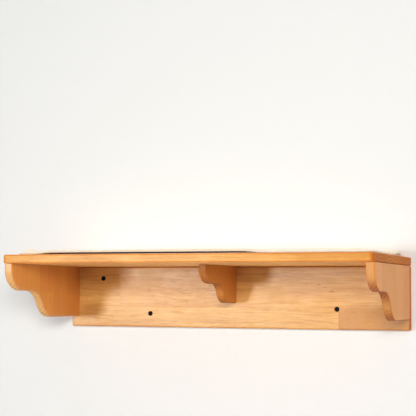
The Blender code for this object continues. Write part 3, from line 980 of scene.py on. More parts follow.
def bore(radius: float, depth: float, place: Matrix) -> Drilling:
    """A plain round hole."""
    return Drilling([(0, CUT_OVERRUN), (radius, CUT_OVERRUN), (radius, -depth), (0, -depth)], place)


@dataclass
class Plate:
    """A flat board cut to an outline, with rounded edges and drilled holes."""

    name: str
    outline: list[Vector]
    rise: Vector
    drillings: list[Drilling] = field(default_factory=list)
    rounded: Callable[[Vector, Vector], bool] = lambda start, end: True
    round_over: float = 0.0025
    round_steps: int = 5
    hole_sides: int = 40

    def mesh(self, material: Material) -> Mesh:
        """Build the plate.

        Args:
            material: Its finish.

        Returns:
            A closed mesh, smooth on its round-overs.
        """
        bm = bmesh.new()
        face = bm.faces.new([bm.verts.new(point) for point in self.outline])
        raised = bmesh.ops.extrude_face_region(bm, geom=[face], use_keep_orig=True)
        risen = [item for item in raised["geom"] if isinstance(item, bmesh.types.BMVert)]
        bmesh.ops.translate(bm, verts=risen, vec=self.rise)
        bmesh.ops.recalc_face_normals(bm, faces=bm.faces)
        chosen = [edge for edge in bm.edges if edge.calc_face_angle() > SHARP_ANGLE
                  and self.rounded(edge.verts[0].co, edge.verts[1].co)]
        bmesh.ops.bevel(bm, geom=chosen, offset=self.round_over, segments=self.round_steps, profile=0.5,
                        affect="EDGES", clamp_overlap=True)
        mesh = mesh_from(self.name, bm)
        mesh.materials.append(material)
        cutters = bmesh.new()
        for drilling in self.drillings:
            add_turned(cutters, drilling.profile, self.hole_sides, drilling.place)
        return smoothed_cut(mesh, cutters)


@dataclass
class ScrewSize:
    """Sizes of a countersunk screw."""

    length: float
    radius: float
    root_radius: float
    head_radius: float
    head_height: float
    head_rim: float = 0.0004
    pitch: float = 0.0022
    tip_length: float = 0.005
    plain_share: float = 0.36

    def clearance(self, depth: float, sink: float) -> Profile:
        """Profile of the countersunk hole round the screw, down to a depth."""
        head, shank, mouth = self.head_radius + FIT_GAP, self.radius + FIT_GAP, sink + CUT_OVERRUN
        return [(0, mouth), (head, mouth), (head, -self.head_rim), (shank, -self.head_height),
                (shank, -depth), (0, -depth)]


@dataclass
class Carcass:
    """Where the boards meet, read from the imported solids, and what joins them."""

    top: Box = field(default_factory=lambda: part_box("top_board"))
    back: Box = field(default_factory=lambda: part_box("back_board"))
    wall_screw: ScrewSize = field(default_factory=lambda: ScrewSize(0.050, 0.00225, 0.00155, 0.004, 0.0026))
    bracket_screw: ScrewSize = field(
        default_factory=lambda: ScrewSize(0.040, 0.002, 0.00135, 0.0038, 0.0024, pitch=0.0018))
    bracket_screw_sink: float = 0.0005
    dowel_clearance: float = 0.0005
    corners: tuple[str, ...] = ("upper_left", "lower_left", "lower_right", "upper_right")
    brackets: tuple[str, ...] = ("left", "middle", "right")

    @property
    def back_thickness(self) -> float:
        """Thickness of the back board."""
        return self.back[1].y - self.back[0].y

    def screw_place(self, node: str) -> Matrix:
        """Where a screw's head lies, its length pointing into the wall or into a bracket.

        Args:
            node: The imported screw.

        Returns:
            The place.
        """
        low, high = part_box(node)
        into_wall = node.startswith("wall")
        head = Vector(((low.x + high.x) / 2, low.y if into_wall else high.y, (low.z + high.z) / 2))
        return Matrix.Translation(head) @ quarter_turns(1 if into_wall else -1, "X")

    def bracket_screws(self, name: str) -> list[str]:
        """Names of the screws that come through the back board into a bracket."""
        return [f"{name}_bracket_screw_{level}" for level in ("upper", "lower")]

    def all_bracket_screws(self) -> list[str]:
        """Names of the screws of all the brackets."""
        return [node for name in self.brackets for node in self.bracket_screws(name)]

    def back_dowels(self) -> list[str]:
        """Names of the dowels between the two boards."""
        return [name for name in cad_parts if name.startswith("back_dowel")]

    def bracket_dowels(self, name: str) -> list[str]:
        """Names of the dowels between a bracket and the top board."""
        return [f"{name}_bracket_dowel_{place}" for place in ("rear", "front")]

    def dowels(self) -> list[str]:
        """Names of all the dowels."""
        return self.back_dowels() + [node for name in self.brackets for node in self.bracket_dowels(name)]

    def dowel_hole(self, node: str, mouth: float) -> Drilling:
        """The hole for a dowel's part beyond a face.

        Args:
            node: The dowel.
            mouth: Height of the face.

        Returns:
            The hole.
        """
        low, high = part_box(node)
        upward = high.z - mouth > mouth - low.z
        depth = (high.z - mouth if high.z > mouth > low.z else 0) + self.dowel_clearance
        middle = Vector(((low.x + high.x) / 2, (low.y + high.y) / 2, mouth))
        return bore((high.x - low.x) / 2 + FIT_GAP, depth,
                    Matrix.Translation(middle) @ quarter_turns(2 if upward else 0, "X"))


@dataclass
class TopBoard:
    """The board that is lain on, with round front corners."""

    carcass: Carcass
    corner_radius: float = 0.008
    corner_steps: int = 12
    # The underside is tinted paler and whiter as a painted reflection of light from below; the end grain's
    # tint is its own colour plus a painted lift of light on the end faces.
    timber: Lacquered = Lacquered(
        "top_board_timber", GrainRun.TOP_BOARD, 3.0, (-0.35, 0.0, 0.0), stave_width=0.0880, stave_length=0.90,
        joint_shift=-0.30, deeper_staves=((-2, 0, 0.05), (-1, 0, 0.20)), deeper_end=(0.36, 0.72, 0.70),
        figure_share=1.5, specular=0.2, gloss=0.2, end_tint=(1.05, 0.80, 0.66), rear_tint=(1.20, 1.26, 1.80),
        pale=(0.79, 0.385, 0.088), deep=(0.61, 0.25, 0.040))

    def build(self) -> None:
        """Build and dress the board."""
        low, high = self.carcass.top
        radius = self.corner_radius
        front = low.y + radius
        points = [(high.x, high.y), (low.x, high.y)]
        points += arc((low.x + radius, front), (radius, radius), 180, self.corner_steps)
        points += arc((high.x - radius, front), (radius, radius), 270, self.corner_steps)
        plate = Plate("top_board_planed", [Vector((x, y, low.z)) for x, y in points],
                      Vector((0, 0, high.z - low.z)),
                      [self.carcass.dowel_hole(node, low.z) for node in self.carcass.dowels()])
        present(plate.name, plate.mesh(self.timber.material()), Body.SHELF, Slot.TOP_WOOD, "top_board")


@dataclass
class BackBoard:
    """The board that lies on the wall and carries the rest: two rows of staves, joined far apart."""

    carcass: Carcass
    joint_x: float = -0.2075
    glue_line_z: float = -0.0165
    # Dark spots in the grain, as (x, z, spread, strength): the last and widest is a painted shadow of the
    # left bracket's lower part on the board, the others are flecks.
    flecks: tuple[Spot, ...] = (
        (0.150, 0.0215, 0.0026, 0.50), (0.172, 0.0100, 0.0030, 0.50), (0.1605, 0.0165, 0.0022, 0.35),
        (-0.2215, -0.0350, 0.0016, 0.35), (-0.2620, -0.0265, 0.0200, 0.50))
    timber: Lacquered = Lacquered(
        "back_board_timber", GrainRun.BACK_BOARD, 8.0, joint_shift=0.3905,
        deeper_staves=((0, -1, 0.26), (-1, 0, 0.36)), figure_share=0.80, specular=0.7, roughness=0.46,
        end_tint=(1.08, 0.50, 0.17), ring_tint=(0.92, 0.86, 0.80), pale=(0.885, 0.545, 0.182),
        deep=(0.53, 0.240, 0.052))

    def build(self) -> None:
        """Build and dress the board."""
        kit = self.carcass
        low, high = kit.back
        rectangle = ((low.x, low.z), (high.x, low.z), (high.x, high.z), (low.x, high.z))
        corners = [Vector((x, high.y, z)) for x, z in rectangle]
        holes = [kit.dowel_hole(node, high.z) for node in kit.back_dowels()]
        through = kit.back_thickness + CUT_OVERRUN
        for corner in kit.corners:
            profile = kit.wall_screw.clearance(through, 0)
            holes.append(Drilling(profile, kit.screw_place("wall_screw_" + corner)))
        for node in kit.all_bracket_screws():
            profile = kit.bracket_screw.clearance(through, kit.bracket_screw_sink)
            holes.append(Drilling(profile, kit.screw_place(node)))
        spots = tuple((x - self.joint_x, z - self.glue_line_z, *rest) for x, z, *rest in self.flecks)
        timber = replace(self.timber, origin=(self.joint_x, 0.0, self.glue_line_z), spots=spots)
        plate = Plate("back_board_planed", corners, Vector((0, low.y - high.y, 0)), holes)
        present(plate.name, plate.mesh(timber.material()), Body.SHELF, Slot.BACK_WOOD, "back_board")


@dataclass
class BracketCurve:
    """Sizes of a bracket's lower edge; drops run down from its top and reaches out from the wall."""

    step_drop: float
    nose_depth: float
    nose_height: float
    ogee_front: float
    ogee_rear: float


@dataclass
class Bracket:
    """A bracket of upright staves, with a round nose, a flat step, an ogee and a flat heel."""

    carcass: Carcass
    name: str
    curve: BracketCurve
    joint_drop: float
    glue_line_reach: float
    timber: Lacquered
    nose_steps: int = 24
    ogee_steps: int = 18

    def outline(self, low: Vector, high: Vector) -> list[Vector]:
        """Side of the bracket, on its left face.

        Args:
            low: Lowest corner of its box.
            high: Highest corner.

        Returns:
            The outline's points.
        """
        curve, reach, drop = self.curve, -low.y, high.z - low.z
        nose = arc((reach - curve.nose_depth, curve.step_drop - curve.nose_height),
                   (curve.nose_depth, curve.nose_height), 0, self.nose_steps)
        run, fall = curve.ogee_front - curve.ogee_rear, drop - curve.step_drop
        slope = 2 * math.atan2(fall, run)
        radius = run / (2 * math.sin(slope))
        angles = [slope * step / self.ogee_steps for step in range(self.ogee_steps + 1)]
        hollow = [(curve.ogee_front - radius * math.sin(a), curve.step_drop + radius * (1 - math.cos(a)))
                  for a in angles]
        swell = [(curve.ogee_rear + radius * math.sin(a), drop - radius * (1 - math.cos(a)))
                 for a in angles[-2::-1]]
        points = [(-high.y, 0), (reach, 0), *nose, *hollow, *swell, (-high.y, drop)]
        return [Vector((low.x, -out, high.z - down)) for out, down in points]

    def build(self) -> None:
        """Build and dress the bracket."""
        kit, node = self.carcass, self.name + "_bracket"
        low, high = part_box(node)

        def rounded(start: Vector, end: Vector) -> bool:
            """Whether an edge follows the outline, clear of both boards.

            Args:
                start: One end of the edge.
                end: Its other end.

            Returns:
                True if it is to be rounded.
            """
            on_top = min(start.z, end.z) > high.z - FIT_GAP
            on_rear = min(start.y, end.y) > high.y - FIT_GAP
            return abs(start.x - end.x) < FIT_GAP and not on_top and not on_rear

        holes = [kit.dowel_hole(dowel, high.z) for dowel in kit.bracket_dowels(self.name)]
        pilot = kit.bracket_screw.radius + FIT_GAP
        depth = kit.bracket_screw.length + kit.bracket_screw_sink + CUT_OVERRUN + high.y
        for screw in kit.bracket_screws(self.name):
            place = kit.screw_place(screw)
            place.translation.y = high.y
            holes.append(bore(pilot, depth, place))
        origin = ((low.x + high.x) / 2, -self.glue_line_reach, high.z - self.joint_drop)
        timber = replace(self.timber, name=node + "_timber", origin=origin)
        rise = Vector((high.x - low.x, 0, 0))
        plate = Plate(node + "_shaped", self.outline(low, high), rise, holes, rounded)
        present(plate.name, plate.mesh(timber.material()), Body.SHELF, Slot.BRACKET_WOOD, node)


def screw_tree() -> Tree:
    """A countersunk screw whose radius follows a rule down its length.

    Returns:
        A tree with the screw's sizes as inputs.
    """
    takes = floats("Length", "Radius", "Root Radius", "Head Radius", "Head Height", "Head Rim", "Pitch",
                   "Tip Length", "Plain Share", "Recess Arm", "Recess Width", "Recess Depth")
    g = Shaping("screw", takes | {"Screw Sides": SocketKind.INT, "Rings": SocketKind.INT})
    (length, radius, root, head_radius, head_height, rim, pitch, tip_length, plain, arm, width, sunk,
     sides, rings) = g.taken
    x, y, z = g.here.xyz()
    depth = length * 0.5 - z
    thread_start = head_height + (length - head_height) * plain
    phase = g.calc("FRACT", g.calc("ARCTAN2", y, x) / math.tau + depth / pitch)
    crest = abs(phase - 0.5).remap(0.04, 0.30, 1.0, 0.0)
    threaded = crest * (radius - root) + root
    shank = (threaded - radius) * depth.remap(thread_start, thread_start + pitch) + radius
    tip = (length - depth).remap(0.0, tip_length, 0.04, 1.0)
    head = depth.remap(rim, head_height, head_radius, 0.0)
    blank = g.turned(g.rod(sides, rings, length), g.larger(shank * tip, head), depth * -1.0)
    bars = g.joined(*(g.out("GeometryNodeMeshCube", {"Size": g.point(*plan, sunk * 2.0)})
                      for plan in ((arm, width), (width, arm))))
    narrow = z.remap(sunk * -1.0, 0.0, 0.5, 1.0)
    cross = g.moved(bars, g.point(x * narrow, y * narrow, z))
    return g.finish(g.out("GeometryNodeMeshBoolean", {0: blank, 1: cross}, operation="DIFFERENCE"))


def dowel_tree() -> Tree:
    """A fluted dowel with chamfered ends.

    Returns:
        A tree with the dowel's sizes as inputs.
    """
    takes = floats("Length", "Radius", "Dowel Chamfer", "Flute Depth", "Flutes")
    g = Shaping("dowel", takes | {"Dowel Sides": SocketKind.INT, "Rings": SocketKind.INT})
    length, radius, chamfer, flute_depth, flutes, sides, rings = g.taken
    x, y, z = g.here.xyz()
    waves = g.calc("SINE", g.calc("ARCTAN2", y, x) * flutes)
    flute = waves.remap(0.2, 0.9, smooth=True) * flute_depth
    cut_back = (length * 0.5 - abs(z)).remap(0.0, chamfer, chamfer, 0.0)
    return g.finish(g.turned(g.rod(sides, rings, length), radius - g.larger(flute, cut_back), z))


@dataclass
class Fixings:
    """Wall screws with their plugs, bracket screws and dowels."""

    carcass: Carcass
    recess_arm: float = 0.0042
    recess_width: float = 0.0009
    recess_depth: float = 0.0016
    screw_sides: int = 28
    ring_height: float = 0.00018
    plug_sides: int = 36
    plug_ribs: int = 7
    rib_depth: float = 0.0005
    slit_width: float = 0.0009
    slit_length: float = 0.018
    flutes: int = 12
    flute_depth: float = 0.00025
    dowel_chamfer: float = 0.0007
    dowel_sides: int = 72
    dowel_rings: int = 24

    def screw_mesh(self, tree: Tree, size: ScrewSize, finish: Steel) -> Mesh:
        """Make a screw, head up at height zero."""
        rest = {"Rings": round(size.length / self.ring_height), "Material": finish.material()}
        return grown(tree, named(self) | named(size) | rest)

    def plug_mesh(self, length: float, radius: float, inner_radius: float, finish: MouldedNylon) -> Mesh:
        """Make a ribbed plug, bored through and slit crosswise at its inner end.

        Args:
            length: Its length.
            radius: Its outer radius.
            inner_radius: Radius of its bore.
            finish: Its nylon.

        Returns:
            The mesh, mouth up at height zero.
        """
        pitch = length / self.plug_ribs
        outside: Profile = []
        for rib in range(self.plug_ribs):
            outside += [(radius, -pitch * rib), (radius, -pitch * (rib + 0.35)),
                        (radius - self.rib_depth, -pitch * (rib + 0.999))]
        bm = bmesh.new()
        inside = [(inner_radius, -length), (inner_radius, 0)]
        add_turned(bm, outside + inside, self.plug_sides, Matrix(), tube=True)
        slits = bmesh.new()
        size = Matrix.Diagonal((3 * radius, self.slit_width, self.slit_length + CUT_OVERRUN, 1))
        middle = Matrix.Translation((0, 0, (self.slit_length - CUT_OVERRUN) / 2 - length))
        for turns in (0, 1):
            bmesh.ops.create_cube(slits, size=1, matrix=middle @ quarter_turns(turns, "Z") @ size)
        mesh = mesh_from("wall_plug", bm)
        mesh.materials.append(finish.material())
        return smoothed_cut(mesh, slits)

    def build(self) -> None:
        """Build and dress every fixing."""
        kit, tree = self.carcass, screw_tree()
        black = Steel("black_phosphate", (0.005, 0.005, 0.006), (0.020, 0.020, 0.022), 0.0, 0.6, 0.1)
        zinc = Steel("zinc_plate", (0.64, 0.62, 0.56), (0.78, 0.77, 0.74), 1.0, 0.34)
        nylon = MouldedNylon("grey_nylon", (0.46, 0.47, 0.48), (0.36, 0.37, 0.39))
        wall_screw = self.screw_mesh(tree, kit.wall_screw, black)
        low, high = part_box("wall_plug_" + kit.corners[0])
        plug = self.plug_mesh(high.y - low.y, (high.x - low.x) / 2, kit.wall_screw.radius + FIT_GAP, nylon)
        for corner in kit.corners:
            place = kit.screw_place("wall_screw_" + corner)
            present("wall_screw_threaded_" + corner, placed(wall_screw, place), Body.SHELF, Slot.BLACK_STEEL,
                    "wall_screw_" + corner)
            place.translation.y = low.y
            present("wall_plug_ribbed_" + corner, placed(plug, place), Body.SHELF, Slot.NYLON,
                    "wall_plug_" + corner)
        bracket_screw = self.screw_mesh(tree, kit.bracket_screw, zinc)
        for node in kit.all_bracket_screws():
            present(node + "_threaded", placed(bracket_screw, kit.screw_place(node)), Body.SHELF,
                    Slot.ZINC_STEEL, node)
        tree, material = dowel_tree(), BareBeech().material()
        for node in kit.dowels():
            low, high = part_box(node)
            mesh = grown(tree, named(self) | {"Length": high.z - low.z, "Radius": (high.x - low.x) / 2,
                                              "Rings": self.dowel_rings, "Material": material})
            present(node + "_fluted", placed(mesh, Matrix.Translation((low + high) / 2)), Body.SHELF,
                    Slot.DOWEL_WOOD, node)


def arch_tree() -> Tree:
    """Rows of small bent filaments on a tape's backing: hooks where they stop short, loops where they close.

    Returns:
        A tree that takes the backing and adds the filaments.
    """
    takes = {"Geometry": SocketKind.GEOMETRY, "Size": SocketKind.VECTOR, "Columns": SocketKind.INT,
             "Rows": SocketKind.INT, "Seed": SocketKind.INT}
    g = Shaping("arches", takes | floats("Arch Radius", "Sweep", "Filament Radius", "Scatter", "Spin"))
    backing, size, columns, rows, seed, reach, sweep, thickness, scatter, spin = g.taken
    length, width, height = size.xyz()
    inputs = {"Size X": length, "Size Y": width, "Vertices X": columns, "Vertices Y": rows}
    grid = g.out("GeometryNodeMeshGrid", inputs)
    shift = g.random((-1.0, -1.0, 0.0), (1.0, 1.0, 0.0), seed) * g.point(scatter, scatter)
    spread = g.moved(grid, shift + g.point(0.0, 0.0, height), "Offset")
    inputs = {"Resolution": 6, "Radius": reach, "Start Angle": 0.0, "Sweep Angle": sweep}
    arch = g.out("GeometryNodeCurveArc", inputs, mode="RADIUS")
    upright = g.out("GeometryNodeTransform", {"Geometry": arch, "Rotation": (math.radians(90), 0.0, 0.0)})
    ring = g.out("GeometryNodeCurvePrimitiveCircle", {"Resolution": 3, "Radius": thickness}, mode="RADIUS")
    inputs = {"Curve": upright, "Profile Curve": ring, "Fill Caps": True}
    filament = g.out("GeometryNodeCurveToMesh", inputs)
    turn = g.random(g.point(-0.25, -0.25, spin * -1.0), g.point(0.25, 0.25, spin), seed + 1.0)
    filaments = g.in_lots(g.planted(spread, filament, Rotation=turn), seed)
    return g.finish(g.joined(filaments, backing))


def stitch_tree() -> Tree:
    """Lockstitches round a rectangle with round corners.

    Returns:
        A tree with the seam's sizes as inputs.
    """
    takes = floats("Length", "Width", "Corner", "Stitch Pitch", "Stitch Length", "Thread Radius", "Height")
    g = Shaping("stitches", takes | {"Seed": SocketKind.INT})
    length, width, corner, pitch, stitch_length, thread, height, seed = g.taken
    box = g.out("GeometryNodeCurvePrimitiveQuadrilateral", {"Width": length, "Height": width})
    seam = g.out("GeometryNodeFilletCurve", {"Curve": box, "Radius": corner, "Count": 6}, mode="POLY")
    points = g.add("GeometryNodeCurveToPoints", {"Curve": seam, "Length": pitch}, mode="LENGTH").outputs
    sphere = g.out("GeometryNodeMeshUVSphere", {"Segments": 8, "Rings": 6, "Radius": 1.0})
    size = g.point(thread, thread, stitch_length * 0.5)
    stitch = g.out("GeometryNodeTransform", {"Geometry": sphere, "Scale": size})
    planted = g.planted(points["Points"], stitch, Rotation=points["Rotation"])
    jitter = g.random((-0.00005, -0.00005, 0.0), (0.00005, 0.00005, 0.0), seed)
    lift = {"Instances": planted, "Translation": jitter + g.point(0.0, 0.0, height), "Local Space": False}
    return g.finish(g.out("GeometryNodeTranslateInstances", lift))


@dataclass
class Tape:
    """Hook strips on the board and loop strips sewn under the mat."""

    backing_share: float = 0.38
    corner_radius: float = 0.003
    corner_steps: int = 6
    margin: float = 0.0012
    hook_pitch: float = 0.0019
    loop_pitch: float = 0.0018
    hook_sweep: float = 215.0
    loop_sweep: float = 180.0
    filament_radius: float = 0.00007
    hook_clearance: float = 0.00006
    seam_inset: float = 0.0021
    stitch_pitch: float = 0.0034
    stitch_length: float = 0.0027
    thread_radius: float = 0.00016

    def backing(self, size: Vector, material: Material) -> Mesh:
        """Make a strip's backing, centred in plan, with its underside at height zero.

        Args:
            size: The strip's length, width and height.
            material: Its finish.

        Returns:
            The mesh.
        """
        radius = self.corner_radius
        outline: Profile = []
        for turn, (side_x, side_y) in enumerate(((1, 1), (-1, 1), (-1, -1), (1, -1))):
            centre = (side_x * (size.x / 2 - radius), side_y * (size.y / 2 - radius))
            outline += arc(centre, (radius, radius), 90 * turn, self.corner_steps)
        thickness = size.z * self.backing_share
        plate = Plate("backing", [Vector((x, y, 0)) for x, y in outline], Vector((0, 0, thickness)),
                      round_over=thickness * 0.3, round_steps=2)
        return plate.mesh(material)

    def strip(self, node: str, tree: Tree, material: Material, hooks: bool, seed: int) -> Mesh:
        """Make a strip with its filaments.

        Args:
            node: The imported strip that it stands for.
            tree: The tree that plants filaments.
            material: The strip's finish.
            hooks: Whether it carries hooks, or else loops.
            seed: Seed of its random turns.

        Returns:
            The strip's mesh in its place, loops hanging down.
        """
        low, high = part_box(node)
        size, middle = high - low, (low + high) / 2
        thickness = size.z * self.backing_share
        pitch = self.hook_pitch if hooks else self.loop_pitch
        span = Vector((size.x - 2 * self.margin, size.y - 2 * self.margin, thickness))
        mesh = grown(tree, named(self) | {
            "Size": span, "Columns": round(span.x / pitch), "Rows": round(span.y / pitch),
            "Arch Radius": size.z - thickness - self.filament_radius - self.hook_clearance,
            "Sweep": math.radians(self.hook_sweep if hooks else self.loop_sweep),
            "Scatter": 0.0 if hooks else pitch / 3, "Spin": 0.35 if hooks else math.pi, "Seed": seed,
            "Material": material}, self.backing(size, material))
        start = Matrix.Translation((middle.x, middle.y, low.z if hooks else high.z))
        return placed(mesh, start @ quarter_turns(0 if hooks else 2, "X"))

    def seam(self, node: str, tree: Tree, material: Material, seed: int) -> Mesh:
        """Make the stitches that hold a loop strip to the mat.

        Args:
            node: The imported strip.
            tree: The tree that sews.
            material: The thread.
            seed: Seed of its uneven stitches.

        Returns:
            The stitches in their place.
        """
        low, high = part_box(node)
        size, middle = high - low, (low + high) / 2
        mesh = grown(tree, named(self) | {
            "Length": size.x - 2 * self.seam_inset, "Width": size.y - 2 * self.seam_inset,
            "Corner": self.corner_radius - self.seam_inset / 2,
            "Height": size.z * (1 - self.backing_share) / 2, "Seed": seed, "Material": material})
        return placed(mesh, Matrix.Translation((middle.x, middle.y, low.z)))

    def build(self) -> None:
        """Build and dress the four strips and their seams."""
        hook = MouldedNylon("black_hook_nylon", (0.014, 0.014, 0.016), (0.030, 0.030, 0.032), 0.42).material()
        loop = Fibre("black_loop_nylon", (0.020, 0.020, 0.022), (0.008, 0.008, 0.009), sheen=0.15).material()
        thread = Fibre("black_thread", (0.030, 0.030, 0.032), (0.012, 0.012, 0.013), 0.6, 0.2).material()
        arches, stitches = arch_tree(), stitch_tree()
        for seed, place in enumerate(("front", "rear"), start=1):
            hook_node, loop_node = "hook_strip_" + place, "loop_strip_" + place
            present(f"hook_tape_{place}", self.strip(hook_node, arches, hook, True, seed), Body.SHELF,
                    Slot.HOOK_TAPE, hook_node)
            present(f"loop_tape_{place}", self.strip(loop_node, arches, loop, False, seed + 10), Body.MAT,
                    Slot.LOOP_TAPE, loop_node)
            present(f"tape_seam_{place}", self.seam(loop_node, stitches, thread, seed), Body.MAT,
                    Slot.LOOP_TAPE)


@dataclass
class Hump:
    """A place where the mat stands up off the board, as shares of its half length and depth."""

    length_share: float
    depth_share: float
    height: float
    radius: float


def mat_tree(humps: int) -> Tree:
    """The mat's cloth: a slab whose every point follows the mat's rule of sag, humps and round edges.

    Args:
        humps: How many humps it has, each with a height, a radius and a middle among the inputs.

    Returns:
        A tree with the mat's sizes as inputs.
    """
    takes = floats("Length", "Depth", "Thickness", "Corner Radius", "Sag", "Sag Start", "Sag Length",
                   "Ripple", "Lip Width", "Lip From", "Lip To", "Lip Drop Before", "Lip Drop After",
                   "Lip Reach", "Pressed", "Pressed Depth", "Seed")
    takes |= {"Columns": SocketKind.INT, "Rows": SocketKind.INT, "Layers": SocketKind.INT}
    for number in range(humps):
        takes |= floats(f"Hump {number} Height", f"Hump {number} Radius")
        takes |= {f"Hump {number} Middle": SocketKind.VECTOR}
    g = Shaping("plush_mat", takes)
    (length, depth, thickness, corner, sag, sag_start, sag_length, ripple, lip_width, lip_from, lip_to,
     drop_before, drop_after, lip_reach, pressed, pressed_depth, seed, columns, rows, layers,
     *bells) = g.taken
    slab = g.out("GeometryNodeMeshCube", {"Size": g.point(length, depth, thickness), "Vertices X": columns,
                                          "Vertices Y": rows, "Vertices Z": layers})
    x, y, z = g.here.xyz()
    half_x, half_y, half_z = length * 0.5, depth * 0.5, thickness * 0.5
    over_x, over_y = abs(x) + corner - half_x, abs(y) + corner - half_y
    in_corner = g.calc("GREATER_THAN", g.calc("MINIMUM", over_x, over_y), 0.0)
    pull = (g.larger(over_x, over_y) / g.point(over_x, over_y).length() - 1.0) * in_corner
    level = z / half_z
    tuck = (1.0 - g.calc("SQRT", 1.0 - level * level * 0.97)) * half_z
    plan_x = (over_x * g.calc("SIGN", x) * pull + x) * (1.0 - tuck / half_x)
    plan_y = (over_y * g.calc("SIGN", y) * pull + y) * (1.0 - tuck / half_y)
    sagged = ((abs(plan_x) - sag_start) / sag_length).remap(0.0, 1.0, smooth=True) * sag
    from_front = y + half_y
    drop = x.remap(lip_from, lip_to, drop_before, drop_after, smooth=True)
    lip = from_front.remap(0.0, lip_width, 1.0, 0.0) * drop
    plan_y = plan_y - lip * lip_reach
    height = g.larger(sagged, lip) * -1.0
    for bell_height, bell_radius, middle in zip(bells[0::3], bells[1::3], bells[2::3]):
        ratio = g.calc("DISTANCE", g.point(plan_x, plan_y), middle) / bell_radius
        height = g.calc("EXPONENT", ratio * ratio * -2.0) * bell_height + height
    wave = g.point(plan_x, plan_y, seed).noise(16.0) - 0.5
    height = height + wave * level.remap(-1.0, 1.0) * ripple
    pressing = x.remap(lip_from, lip_to, 0.0, pressed, smooth=True)
    flattened = from_front.remap(0.0, pressed_depth, pressing, 0.0, smooth=True)
    full = z + half_z
    lift = height + (full - full * flattened)
    return g.finish(g.moved(slab, g.point(plan_x, plan_y, lift)))


def pile_tree() -> Tree:
    """Tufts of pile over the upper side and the edges of a cloth.

    Returns:
        A tree that takes the cloth and gives only the tufts between two places along it.
    """
    takes = {"Geometry": SocketKind.GEOMETRY, "Seed": SocketKind.INT}
    takes |= floats("From", "To", "Pile Spacing", "Pile Height", "Tuft Radius", "Tuft Lean", "Lowest Facing")
    g = Shaping("pile", takes)
    cloth, seed, start, end, spacing, tall, radius, lean, lowest = g.taken
    x, y, z = g.here.xyz()
    up = g.out("GeometryNodeInputNormal").xyz()[2]
    within = g.calc("GREATER_THAN", x, start) * g.calc("LESS_THAN", x, end)
    chosen = within * g.calc("GREATER_THAN", up, lowest)
    inputs = {"Mesh": cloth, "Selection": chosen, "Distance Min": spacing,
              "Density Max": 1.6 / (spacing * spacing), "Seed": seed}
    scatter = g.add("GeometryNodeDistributePointsOnFaces", inputs, distribute_method="POISSON").outputs
    inputs = {"Vertices": 3, "Side Segments": 2, "Radius Top": 0.0, "Radius Bottom": radius, "Depth": tall}
    spike = g.out("GeometryNodeMeshCone", inputs, fill_type="NGON")
    rise = z / tall
    fuller = abs(rise - 0.5).remap(0.0, 0.5, 1.7, 1.0)
    bent = g.moved(spike, g.point(x * fuller + rise * rise * (tall * lean), y * fuller, z))
    tipped = g.marked(bent, "tip", rise, "POINT")
    spin = g.random((-0.35, -0.35, 0.0), (0.35, 0.35, math.tau), seed)
    turned = g.out("FunctionNodeRotateRotation", {"Rotation": scatter["Rotation"], "Rotate By": spin},
                   rotation_space="LOCAL")
    size = g.random((0.8, 0.8, 0.65), (1.2, 1.2, 1.15), seed + 1.0)
    tufts = g.planted(scatter["Points"], tipped, Rotation=turned, Scale=size)
    return g.finish(g.in_lots(tufts, seed))


